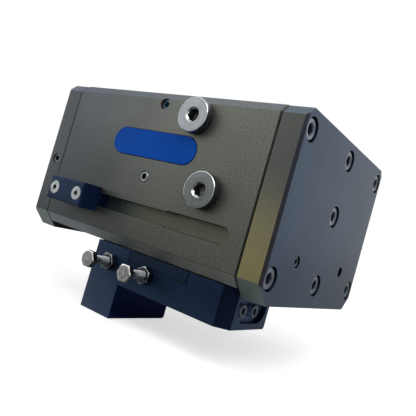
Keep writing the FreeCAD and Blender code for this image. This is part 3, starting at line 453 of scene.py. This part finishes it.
def softenedNode(name, look):   # the CAD node's own shape, its edges broken and its flat faces whole again
    node = look["node"]
    bm = nodeMesh(node)
    if "screws" in look:
        cutAtScrews(bm, look["screws"])
    bmesh.ops.dissolve_limit(bm, angle_limit=math.radians(flatAngle), verts=bm.verts, edges=bm.edges,
                             delimit={"SEAM"})
    if "seam" in look:   # four steps, so that the second pass leaves them alone
        atSeam = [e for e in sharpEdges(bm) if all(abs(v.co.x - look["seam"]["at"]) < same for v in e.verts)]
        breakEdges(bm, atSeam, look["seam"]["width"], steps=4)
    breakEdges(bm, sharpEdges(bm), look["edge"], steps=2)
    low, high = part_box(node)
    for v in bm.verts:   # where three bevels meet, a corner may stand proud
        v.co = [min(max(v.co[k], low[k]), high[k]) for k in range(3)]
    if "pick" in look:
        bm.normal_update()
        for face in bm.faces:
            face.material_index = look["pick"](face)
    piece = finishPiece(bm, name, look["body"], look["finishes"], [node], milledAngle)
    weigh = piece.modifiers.new("flat faces", "WEIGHTED_NORMAL")
    weigh.keep_sharp = True


lean, square, flush = 0.3, 0.9, 0.95   # parts of a normal: slopes that way, faces that way, lies all but flat
bevelLean = 0.5   # the housing's bevels slope at least so much both ways
seamLean = (0.1, 0.99)   # its broken edge at the cover: neither its side nor its end
blockLow, blockHigh = [Vector(corner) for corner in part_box("housing")]
stripLow, stripHigh = [Vector(corner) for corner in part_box("clamp_strip")]
slotFront = blockLow.y + 0.4 * mm   # behind the front face's broken edges


def housingFinish(face):   # 1: low bevels, painted floor reflection, 2: top bevels, painted light, 3: the edge at the right cover, painted seam shade, 4: in the slot
    centre = face.calc_center_median()
    if seamLean[0] < face.normal.x < seamLean[1] and centre.x > blockHigh.x - mm:
        return 3
    if slotFront < centre.y < stripHigh.y + mm and stripLow.z - mm < centre.z < stripHigh.z + mm:
        return 4
    if abs(face.normal.y) < bevelLean or abs(face.normal.z) < bevelLean:
        return 0
    return 1 if face.normal.z < 0 else 2


softenedNode("housingBlock", {
    "node": "housing", "body": "housing", "slot": "hard_anodised", "edge": 0.3,
    "seam": {"at": blockHigh.x, "width": 0.45}, "pick": housingFinish,
    "finishes": [blastedAnodised, blastedPale, blastedBlue, seamShade, milledSlot]})

coverLow, coverHigh = [Vector(corner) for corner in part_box("right_cover")]
# All counterbores of a cover lie within this span.
boreSpan = {"beside": 45 * mm, "low": coverLow.z + 5 * mm, "high": coverHigh.z - 2.5 * mm}


def coverFinish(face):   # 1: upright edges, 2: low bevels, 3: upright bevels, 4: the seam, 5: top bevels, each set coloured by its direction: painted reflection, light and shade
    centre = face.calc_center_median()
    if face.normal.x * math.copysign(1, centre.x) < -lean:
        return 4
    nearBores = abs(centre.y) <= boreSpan["beside"] and boreSpan["low"] < centre.z < boreSpan["high"]
    if nearBores or abs(face.normal.y) < lean:
        return 0
    if abs(face.normal.z) > lean:
        return 2 if face.normal.z < 0 else 5
    return 1 if abs(face.normal.y) > square else 3


cover = {"body": "housing", "slot": "hard_anodised", "edge": 0.04, "pick": coverFinish}
softenedNode("coverRight", {
    **cover, "node": "right_cover", "screws": "right_cover_screws", "seam": {"at": blockHigh.x, "width": 0.2},
    "finishes": [milledSlate, milledOlive, paleEdge, shadedEdge, seamShade, paleSlate]})
softenedNode("coverLeft", {
    **cover, "node": "left_cover", "screws": "left_cover_screws", "seam": {"at": blockLow.x, "width": 0.1},
    "finishes": [milledSlate, milledGrey, paleEdge, milledGrey, faintSeamShade, milledSlate]})

fingerLow, fingerHigh = [Vector(corner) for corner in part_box("gripper_finger")]
jawVerts = nodes["front_base_jaw"].data.vertices
tenonLow, tenonHigh = reachOf([v.co for v in jawVerts if v.co.y < fingerLow.y + same])
groove = {"width": 0.8 * mm, "depth": 0.5 * mm}   # between the tenon and the finger
bedStart = fingerHigh.x - 12 * mm   # the end screws' bed lies beyond


def atTenon(place):   # in the groove round the jaw's tenon, where it shows in the finger's front
    beside = all(tenonLow[k] - groove["width"] < place[k] < tenonHigh[k] + groove["width"] for k in (0, 2))
    return beside and place.y < fingerLow.y + groove["depth"]


def fingerFinish(face):   # 1: the front, painted light, 2: the leg's flank, painted shade, 3: the end, 4: the end screws' bed, both painted light
    centre, normal = face.calc_center_median(), face.normal
    # In the groove round the tenon upward faces take the painted light, the others the painted shade.
    if -flush < normal.y < -lean and atTenon(centre):
        return 1 if normal.z > lean else 2
    inner = centre.z > fingerLow.z + mm and centre.y < fingerHigh.y - mm
    if inner and centre.x > bedStart and (normal.z < -square or normal.y > square):
        return 4
    if normal.y < -square:
        return 1
    if normal.x < square:
        return 0
    if centre.x < 0:
        return 2
    return 3 if centre.x > fingerHigh.x - mm else 4


def jawFinish(face):   # 1: the groove's upright sides, painted shade
    sloping = abs(face.normal.x) > lean and face.normal.y < -lean
    return 1 if sloping and atTenon(face.calc_center_median()) else 0


def bracketFinish(face):   # 1: the right flank, painted light
    return 1 if face.normal.x > square else 0


softenedNode("fingerBlock", {
    "node": "gripper_finger", "body": "front_jaw", "slot": "black_anodised", "edge": 0.25,
    "pick": fingerFinish, "finishes": [blackAnodised, frontLitBlack, shadeNavy, endBlack, bedBlack]})
softenedNode("jawFront", {
    "node": "front_base_jaw", "body": "front_jaw", "slot": "black_anodised", "edge": 0.2,
    "pick": jawFinish, "finishes": [greyBlack, shadeNavy]})
softenedNode("jawRear", {
    "node": "rear_base_jaw", "body": "rear_jaw", "slot": "black_anodised", "edge": 0.2,
    "finishes": [greyBlack]})
softenedNode("bracketBlock", {
    "node": "sensor_bracket", "body": "bracket", "slot": "black_anodised", "edge": 0.2,
    "pick": bracketFinish, "finishes": [paleBlack, navyBlack]})
softenedNode("platePill", {
    "node": "name_plate", "body": "housing", "slot": "blue_plate", "edge": 0.12, "finishes": [printedBlue]})
print("machined blocks softened")

carried = {
    groundSteel: ["front_guide_rods", "rear_guide_rods", "front_rack", "rear_rack", "pinion", "pinion_axle",
                  "front_piston_rod", "rear_piston_rod", "front_piston_nut", "rear_piston_nut",
                  "front_rod_nut", "rear_rod_nut", "front_rack_screws", "rear_rack_screws",
                  "front_driver_screws", "rear_driver_screws", "pinion_washer", "pinion_clip",
                  "gland_rings"],
    # The clamp strip takes the lighter navy: painted light in its shade.
    navyBlack: ["clamp_strip"],
    plainAluminium: ["front_piston", "rear_piston", "front_rod_gland", "rear_rod_gland", "front_driver",
                     "rear_driver"],
    sinteredBronze: ["front_guide_bushes", "rear_guide_bushes", "pinion_bush"],
    moulded: ["port_seals", "cover_seals", "gland_seals", "rod_seals", "front_piston_seals",
              "rear_piston_seals"],
}
for finish, names in carried.items():
    for node in names:
        carriedNode = nodes[node]
        if not carriedNode.material_slots:
            carriedNode.data.materials.append(finish)
        for holder in carriedNode.material_slots:
            holder.link = "OBJECT"
            holder.material = finish
print("inner pieces finished")

cutShare = 0.95   # a cone cuts a hexagon's end down to a circle of this share of its flats


def placeRing(verts, ring):   # kind, size across, height, and for a cut hexagon how its corners fall
    kind, size, height = ring[:3]
    for v in verts:
        angle = math.atan2(v.co.y, v.co.x)
        reach = size / 2 if kind == "round" else size / 2 / math.cos(angle % (turn / 6) - turn / 12)
        drop = (reach - size / 2 * cutShare) * ring[3] if kind == "cut" else 0
        v.co = (reach * mm * math.cos(angle), reach * mm * math.sin(angle), (height + drop) * mm)


def rounds(*sizes):   # round rings from pairs of size across and height
    return [("round", across, height) for across, height in sizes]


def skinned(rings, steps, darkRings=0, hollow=False):   # each ring grown into the next, the socket first
    bm = bmesh.new()
    verts = bmesh.ops.create_circle(bm, segments=steps, radius=mm)["verts"]
    start = edges = list(dict.fromkeys(e for v in verts for e in v.link_edges))   # each once, in order
    placeRing(verts, rings[0])
    for k, ring in enumerate(rings[1:]):
        grown = bmesh.ops.extrude_edge_only(bm, edges=edges)["geom"]
        verts = [g for g in grown if isinstance(g, bmesh.types.BMVert)]
        edges = [g for g in grown if isinstance(g, bmesh.types.BMEdge) and set(g.verts) <= set(verts)]
        placeRing(verts, ring)
        for face in grown:
            if isinstance(face, bmesh.types.BMFace):
                face.material_index = 1 if k < darkRings else 0
    for loop in () if hollow else (start, edges):   # both ends filled, unless the last ring meets the first
        for face in bmesh.ops.edgeloop_fill(bm, edges=loop)["faces"]:
            face.material_index = 1 if darkRings and loop is start else 0
    bmesh.ops.remove_doubles(bm, verts=bm.verts, dist=weld)
    bmesh.ops.recalc_face_normals(bm, faces=bm.faces)
    layer = bm.verts.layers.float.new("turnRadius")
    for v in bm.verts:
        v[layer] = v.co.xy.length / mm
    return bm


def headPlaces(node, axis, outward, start=0.2, step=0.7):   # outward 0: heads face away from the middle
    places = []
    for k, (low, high) in enumerate(islandBoxes(node)):
        centre = (low + high) / 2
        sign = outward or math.copysign(1, centre[axis])
        face = Vector([sign if n == axis else 0 for n in range(3)])
        centre[axis] = high[axis] if sign > 0 else low[axis]
        turned = Matrix.Rotation(start + step * k, 4, "Z")   # no two screws stop at the same angle
        places.append(Matrix.Translation(centre) @ face.to_track_quat("Z", "Y").to_matrix().to_4x4() @ turned)
    return places


def repeated(local, places):   # the same screw at every place
    source = meshOf(local, "source")
    whole = bmesh.new()
    for place in places:
        start = len(whole.verts)
        whole.from_mesh(source)
        whole.verts.ensure_lookup_table()
        bmesh.ops.transform(whole, matrix=place, verts=whole.verts[start:])
    bpy.data.meshes.remove(source)
    return whole


def nodeLength(node, axis):
    low, high = islandBoxes(node)[0]
    return (high[axis] - low[axis]) / mm


def fromAxis(face):   # mm from the screw's own axis
    return face.calc_center_median().xy.length / mm


def valuesOf(look, *names):
    return [look[name] for name in names]


alongY, frontward = 1, -1   # axis and sign of heads that face the front
drill = {"across": 0.3, "tip": 0.12}   # end of a socket: mm across, and depth as a share of the flats


def socketRings(look):   # drilled bottom, six flats, then a cone that cuts them in arcs
    socket, mouth, depth, slope = valuesOf(look, "socket", "mouth", "depth", "slope")
    rim = (mouth - socket * cutShare) / 2 * slope
    return [("round", drill["across"], -depth - drill["tip"] * socket), ("hex", socket, -depth),
            ("cut", socket, -rim, slope), ("round", mouth, 0)]


# All in mm. A pair says how much narrower a ring is than the head or shank, and how far from its end.
capEdges = {"face": 0.9, "shoulder": (0.25, 0.12), "rim": 0.4, "foot": (0.4, 0.2), "point": (1.0, 0.6)}
m5Cap = {"head": 8.5, "height": 5.0, "shank": 4.9, "steps": 72, "flute": 0.24,
         "socket": 4.0, "mouth": 5.28, "depth": 2.5, "slope": 0.8}
m3Cap = {"head": 5.5, "height": 3.0, "shank": 2.9, "steps": 60, "flute": 0.2,
         "socket": 2.5, "mouth": 3.3, "depth": 1.5, "slope": 0.8}
sideShare = 0.45   # faces beyond this share of the head's size are its side


def capScrewRings(look, length):   # socket, rounded rim, straight head, shank with a pointed end
    head, height, shank = valuesOf(look, "head", "height", "shank")
    face, shoulder, rim, foot, point = valuesOf(capEdges, "face", "shoulder", "rim", "foot", "point")
    return socketRings(look) + rounds(
        (head - face, 0), (head - shoulder[0], -shoulder[1]), (head, -rim),
        (head, -height + foot[1]), (head - foot[0], -height),
        (shank, -height), (shank, -length + point[1]), (shank - point[0], -length))


def knurled(bm, look):   # fine straight flutes round the head
    for v in bm.verts:
        if abs(v.co.xy.length - look["head"] / 2 * mm) < same:
            step = round((math.atan2(v.co.y, v.co.x) % turn) / turn * look["steps"])
            if step % 2:
                v.co.xy *= 1 - look["flute"] / look["head"]
    return bm


capSets = {
    "coverScrewsRight": {"node": "right_cover_screws", "body": "housing", "axis": 0, "outward": 1,
                         "look": m5Cap, "finish": phosphated, "side": phosphated},
    "coverScrewsLeft": {"node": "left_cover_screws", "body": "housing", "axis": 0, "outward": -1,
                        "look": m5Cap, "finish": phosphated, "side": phosphated},
    "fingerEndScrews": {"node": "finger_end_screws", "body": "front_jaw", "axis": 0, "outward": 1,
                        "look": m3Cap, "finish": darkPhosphated, "side": sideFillLight},
    "fingerScrews": {"node": "finger_screws", "body": "front_jaw", "axis": 2, "outward": -1,
                     "look": m3Cap, "finish": darkPhosphated, "side": sideFillLight},
}
for name, use in capSets.items():
    look = use["look"]
    length = nodeLength(use["node"], use["axis"])
    screw = skinned(capScrewRings(look, length), look["steps"], darkRings=3)
    for face in screw.faces:   # 1: the socket, painted shade, 2: the knurled side, on the finger's screws painted light
        if abs(face.normal.z) < lean and fromAxis(face) > look["head"] * sideShare:
            face.material_index = 2
    screw = repeated(knurled(screw, look), headPlaces(use["node"], use["axis"], use["outward"]))
    finishPiece(screw, name, use["body"], [use["finish"], socketShade, use["side"]],
                [use["node"]])

setScrew = {"across": 4.9, "rim": 0.35, "steps": 48,
            "socket": 2.5, "mouth": 3.125, "depth": 1.9, "slope": 0.5}
setSets = {
    "stopScrews": {"node": "stop_screws", "axis": 0, "outward": 0, "finish": phosphated,
                   "inside": platedSocket},
    "ventScrew": {"node": "vent_screw", "axis": 1, "outward": -1, "finish": darkPhosphated,
                  "inside": tealVarnish},
    "passageScrew": {"node": "passage_screw", "axis": 1, "outward": -1, "finish": phosphated,
                     "inside": platedSocket},
    "coverPassageScrews": {"node": "cover_passage_screws", "axis": 1, "outward": 0, "finish": darkPhosphated,
                           "inside": platedSocket},
}
for name, use in setSets.items():
    across, rim = valuesOf(setScrew, "across", "rim")
    length = nodeLength(use["node"], use["axis"])
    rings = socketRings(setScrew) + rounds(
        (across - 2 * rim, 0), (across, -rim), (across, -length + rim), (across - 2 * rim, -length))
    places = headPlaces(use["node"], use["axis"], use["outward"])
    screw = repeated(skinned(rings, setScrew["steps"], darkRings=3), places)
    finishPiece(screw, name, "housing", [use["finish"], use["inside"]], [use["node"]])

flatScrew = {"head": 6.4, "rim": (0.3, 0.08), "cone": 1.7, "shank": 2.9, "point": (0.9, 0.5), "steps": 48,
             "socket": 2.0, "mouth": 2.5, "depth": 1.0, "slope": 0.5}


def flatScrewRings(look, length):   # socket, countersunk head, shank with a pointed end
    head, shank, rim, point = valuesOf(look, "head", "shank", "rim", "point")
    return socketRings(look) + rounds(
        (head - rim[0], 0), (head, -rim[1]), (shank, -look["cone"]), (shank, -length + point[1]),
        (shank - point[0], -length))


length = nodeLength("bracket_screws", alongY)
screw = skinned(flatScrewRings(flatScrew, length), flatScrew["steps"], darkRings=3)
finishPiece(repeated(screw, headPlaces("bracket_screws", alongY, frontward)), "bracketScrews", "bracket",
            [nickelBright, platedSocket], ["bracket_screws"])

plug = {"collar": 15.2, "height": 3.3, "edge": 0.25, "blend": 0.1, "ease": (0.06, 0.05), "foot": (0.4, 0.2),
        "thread": 9.5, "point": (1.6, 0.8), "steps": 96,
        "socket": 5.0, "mouth": 6.7, "depth": 4.6, "slope": 0.8}
plugLean = 0.2   # edges and cones slope outward at least so much
outerShare = 0.6   # faces farther from the axis than this share of the mouth lie outside it


def plugRings(look, length):   # socket, collar with a small eased chamfer, plain thread
    collar, height, thread, edge, blend = valuesOf(look, "collar", "height", "thread", "edge", "blend")
    ease, foot, point = valuesOf(look, "ease", "foot", "point")
    return socketRings(look) + rounds(
        (collar - 2 * edge - 2 * blend, 0), (collar - 2 * edge + ease[0], -ease[1]),
        (collar - ease[0], -edge + ease[1]), (collar, -edge - blend),
        (collar, -height + foot[1]), (collar - foot[0], -height),
        (thread, -height), (thread, -length + point[1]), (thread - point[0], -length))


plugMesh = skinned(plugRings(plug, nodeLength("port_plugs", alongY)), plug["steps"], darkRings=2)
for face in plugMesh.faces:   # 2: the collar's edge and the socket's cone, painted highlight; 3: the sides, painted shade
    if face.normal.z < flush and fromAxis(face) > plug["mouth"] * outerShare:
        face.material_index = 2 if face.normal.z > plugLean else 3
    elif plugLean < face.normal.z < flush and fromAxis(face) > plug["socket"] / 2:
        face.material_index = 2
finishPiece(repeated(plugMesh, headPlaces("port_plugs", alongY, frontward)), "portPlugs", "housing",
            [nickelTurned, platedSocket, rimHighlight, plugSideShade], ["port_plugs"])
print("socket screws and plugs made")

outerThread = {"depth": 1.2, "rise": 0.38, "crest": 0.5, "fall": 0.88}   # shares of the pitch
threadWeld = 0.005 * mm   # joins each turn of the helix to the next


def threadedRod(across, pitch, top, length, steps):   # a helix: the outline moves one pitch along in a turn
    bm = bmesh.new()
    core = across - outerThread["depth"] * pitch
    outline = []
    for k in range(int(length / pitch)):
        at = top - k * pitch
        outline += [(core, at), (across, at - outerThread["rise"] * pitch),
                    (across, at - outerThread["crest"] * pitch), (core, at - outerThread["fall"] * pitch)]
    verts = [bm.verts.new((d / 2 * mm, 0, h * mm)) for d, h in outline]
    edges = [bm.edges.new(pair) for pair in zip(verts, verts[1:])]
    bmesh.ops.spin(bm, geom=verts + edges, cent=(0, 0, 0), axis=(0, 0, 1), angle=turn, steps=steps,
                   dvec=(0, 0, -pitch * mm / steps))
    bmesh.ops.remove_doubles(bm, verts=bm.verts, dist=threadWeld)
    bmesh.ops.holes_fill(bm, edges=[e for e in bm.edges if e.is_boundary])
    bmesh.ops.recalc_face_normals(bm, faces=bm.faces)
    return bm


bolt = {"flats": 7.0, "height": 2.8, "middle": 0.4, "slope": -0.6, "washer": 6.4, "step": 0.15, "ease": 0.1,
        "shank": 3.9, "core": 0.8, "end": 0.1, "pitch": 0.7, "runIn": 0.4, "steps": 48, "threadSteps": 24,
        "turned": (-0.02, 0.06)}


def boltRings(look, length):   # chamfered hexagon, washer face, the shank's core
    flats, height, washer, step, ease = valuesOf(look, "flats", "height", "washer", "step", "ease")
    core = look["shank"] * look["core"]
    return rounds((look["middle"], 0), (flats * cutShare, 0)) + [
        ("cut", flats, 0, look["slope"]), ("hex", flats, -height + step + ease),
        ("hex", flats - ease, -height + step),
    ] + rounds((washer, -height + step), (washer, -height), (core, -height), (core, -length + look["end"]))


length = nodeLength("finger_bolts", alongY)
boltMesh = skinned(boltRings(bolt, length), bolt["steps"])
for face in boltMesh.faces:   # 2: the head's sides, painted dark reflection, 3: its chamfer, painted highlight
    if abs(face.normal.z) < lean:
        face.material_index = 2
    elif lean < face.normal.z < flush:
        face.material_index = 3
thread = threadedRod(bolt["shank"], bolt["pitch"], -bolt["height"] + bolt["runIn"], length - bolt["height"],
                     bolt["threadSteps"])
# 1: the thread, painted dark reflection
for face in thread.faces:
    face.material_index = 1
threadMesh = meshOf(thread, "thread")
boltMesh.from_mesh(threadMesh)
bpy.data.meshes.remove(threadMesh)
boltPlaces = headPlaces("finger_bolts", alongY, frontward, *bolt["turned"])
finishPiece(repeated(boltMesh, boltPlaces), "fingerBolts", "front_jaw",
            [stainless, threadDarkReflection, headSide, chamferHighlight], ["finger_bolts"])

lockNut = {"flats": 7.0, "height": 3.2, "bore": 3.95, "mouth": 4.5, "sink": 0.35, "slope": -0.577,
           "steps": 48, "turned": (-0.05, 0.5)}


def nutRings(look):   # from the middle of the bore round the outside and back
    flats, height, bore, mouth, sink = valuesOf(look, "flats", "height", "bore", "mouth", "sink")
    return rounds((bore, -height / 2), (bore, -sink), (mouth, 0), (flats * cutShare, 0)) + [
        ("cut", flats, 0, look["slope"]), ("cut", flats, -height, -look["slope"]),
    ] + rounds((flats * cutShare, -height), (mouth, -height), (bore, -height + sink), (bore, -height / 2))


nutMesh = skinned(nutRings(lockNut), lockNut["steps"], hollow=True)
for face in nutMesh.faces:   # 1: the chamfers, painted highlight
    if lean < abs(face.normal.z) < flush and fromAxis(face) > lockNut["mouth"] * outerShare:
        face.material_index = 1
nutPlaces = headPlaces("finger_lock_nuts", alongY, frontward, *lockNut["turned"])
finishPiece(repeated(nutMesh, nutPlaces), "fingerLockNuts", "front_jaw", [headSide, nutEdgeHighlight],
            ["finger_lock_nuts"])
print("bolts and nuts made")

# Threads cut in the open holes: a coil of ridges standing off each wall, in mm.
innerThread = {"depth": 1.0, "rise": 0.4, "crest": 0.6}   # shares of the pitch
sunk, skin = 0.04, 0.1   # mm across: how far the coil reaches into the wall, and its thickness there
threadCuts = {
    "mountThreads": {"across": 6.0, "pitch": 1.0, "top": 0.8, "length": 11.0, "steps": 32,
                     "axis": (0, 0, 1), "holes": [(x, y, 0) for x in (-38, 38) for y in (-40, 40)]},
    "rearPortThreads": {"across": 9.6, "pitch": 0.907, "top": 0.8, "length": 8.0, "steps": 40,
                        "axis": (0, 1, 0), "holes": [(-20.8, 51, -10.5), (-34.6, 51, -40.3)]},
}
for name, cut in threadCuts.items():
    across, pitch, top = valuesOf(cut, "across", "pitch", "top")
    ridge = across - innerThread["depth"] * pitch
    wall = across + sunk
    root = wall - skin
    coil = bmesh.new()
    outline = []
    for k in range(int(cut["length"] / pitch)):
        at = -top - k * pitch
        outline += [(root, at), (ridge, at - innerThread["rise"] * pitch),
                    (ridge, at - innerThread["crest"] * pitch)]
    outline += [(root, at - pitch), (wall, at - pitch), (wall, -top)]
    corners = [coil.verts.new((d / 2 * mm, 0, h * mm)) for d, h in outline]
    sides = [coil.edges.new(pair) for pair in zip(corners, corners[1:] + corners[:1])]
    bmesh.ops.spin(coil, geom=corners + sides, cent=(0, 0, 0), axis=(0, 0, 1), angle=turn, steps=cut["steps"],
                   use_merge=True)
    bmesh.ops.recalc_face_normals(coil, faces=coil.faces)
    turned = Vector(cut["axis"]).to_track_quat("Z", "Y").to_matrix().to_4x4()
    places = [Matrix.Translation(Vector(hole) * mm) @ turned for hole in cut["holes"]]
    finishPiece(repeated(coil, places), name, "housing", [blastedAnodised], [], milledAngle)
print("threads cut")

# Stage: a pale floor that runs to white, soft lamps and the camera
white = (1, 1, 1, 1)
stageLook = {"size": 6.0, "drop": 0.0002, "tone": "#f2f2f2", "rough": 0.9, "glow": 0.62, "ambient": 0.42}
floorBm = bmesh.new()
bmesh.ops.create_grid(floorBm, x_segments=2, y_segments=2, size=stageLook["size"] / 2)
bmesh.ops.translate(floorBm, verts=floorBm.verts, vec=(0, 0, cadBox[0][2] - stageLook["drop"]))
floor = linked(floorBm, "floor")
floorFinish, floorShader = newFinish("white paper floor")
floorTree = floorFinish.node_tree
floorRays = addNode(floorTree, "ShaderNodeLightPath", {}, {})
floorGlow = addNode(floorTree, "ShaderNodeMath", {"operation": "MULTIPLY", 1: stageLook["glow"]},
                    {0: floorRays.outputs["Is Camera Ray"]})
floorShader.inputs["Base Color"].default_value = linear(stageLook["tone"])
floorShader.inputs["Roughness"].default_value = stageLook["rough"]
floorShader.inputs["Emission Color"].default_value = white
floorTree.links.new(floorGlow.outputs["Value"], floorShader.inputs["Emission Strength"])
floor.data.materials.append(floorFinish)

# The studio is white where it is seen or mirrored, and dimmer as a light.
world = bpy.data.worlds.new("studio")
bpy.context.scene.world = world
world.use_nodes = True
skyTree = world.node_tree
sky = skyTree.nodes["Background"]
sky.inputs["Color"].default_value = white
skyRays = addNode(skyTree, "ShaderNodeLightPath", {}, {})
seen = addNode(skyTree, "ShaderNodeMath", {"operation": "MAXIMUM"},
               {0: skyRays.outputs["Is Camera Ray"], 1: skyRays.outputs["Is Glossy Ray"]})
through = addNode(skyTree, "ShaderNodeMath", {"operation": "MAXIMUM"},
                  {0: seen.outputs["Value"], 1: skyRays.outputs["Is Transmission Ray"]})
strength = addNode(skyTree, "ShaderNodeMapRange", {"To Min": stageLook["ambient"], "To Max": 1.0},
                   {"Value": through.outputs["Value"]})
skyTree.links.new(strength.outputs["Result"], sky.inputs["Strength"])

# Dark cards out of the picture: they stand in for the room and give the bright metal its contrast.
cardLooks = {
    "cardRight": {"at": (0.42, -0.30, -0.02), "facing": (-0.42, 0.30, 0), "width": 0.36, "height": 0.4,
                  "tone": "#141210"},
    "cardFloor": {"at": (0.0, -0.26, -0.104), "facing": (0, 0, 1), "width": 0.7, "height": 0.4,
                  "tone": "#6f7276"},
}
for name, look in cardLooks.items():
    cardBm = bmesh.new()
    bmesh.ops.create_grid(cardBm, x_segments=1, y_segments=1, size=0.5)   # a metre square
    bmesh.ops.scale(cardBm, verts=cardBm.verts, vec=(look["width"], look["height"], 1))
    facing = Vector(look["facing"]).to_track_quat("Z", "Y").to_matrix().to_4x4()
    bmesh.ops.transform(cardBm, verts=cardBm.verts, matrix=Matrix.Translation(look["at"]) @ facing)
    card = linked(cardBm, name)
    cardFinish, cardShader = newFinish(name)
    cardShader.inputs["Base Color"].default_value = linear(look["tone"])
    cardShader.inputs["Roughness"].default_value = 1.0
    card.data.materials.append(cardFinish)
    card.visible_camera = False
    card.visible_shadow = False
    card.visible_diffuse = False

lampLooks = {
    "keyLamp": {"at": (0.35, -0.45, 0.55), "size": 0.5, "watts": 2.0, "tone": "#ffffff"},
    "fillLamp": {"at": (-0.6, -0.4, 0.15), "size": 0.6, "watts": 1.0, "tone": "#ffffff"},
}
partMiddle = (Vector(cadBox[0]) + Vector(cadBox[1])) / 2
for name, look in lampLooks.items():
    lamp = bpy.data.lights.new(name, "AREA")
    lamp.size = look["size"]
    lamp.energy = look["watts"]
    lamp.color = linear(look["tone"])[:3]
    holder = bpy.data.objects.new(name, lamp)
    holder.location = look["at"]
    holder.rotation_euler = (partMiddle - holder.location).to_track_quat("-Z", "Y").to_euler()
    bpy.context.scene.collection.objects.link(holder)

cameraLook = {"at": (0.14863, -0.20531, -0.05248), "right": (0.78738, 0.55174, 0.27499),
              "up": (-0.20564, -0.18545, 0.96089), "forward": (-0.58116, 0.81314, 0.03256),
              "lens": 41.376, "sensor": 36, "nearest": 0.005}
cameraData = bpy.data.cameras.new("camera")
cameraData.sensor_width = cameraLook["sensor"]
cameraData.lens = cameraLook["lens"]
cameraData.clip_start = cameraLook["nearest"]
camera = bpy.data.objects.new("camera", cameraData)
bpy.context.scene.collection.objects.link(camera)
axes = Matrix((cameraLook["right"], cameraLook["up"], [-c for c in cameraLook["forward"]])).transposed()
camera.matrix_world = Matrix.Translation(cameraLook["at"]) @ axes.to_4x4()
bpy.context.scene.camera = camera
bpy.context.scene.view_settings.view_transform = "Standard"
print("stage, lamps and camera set")
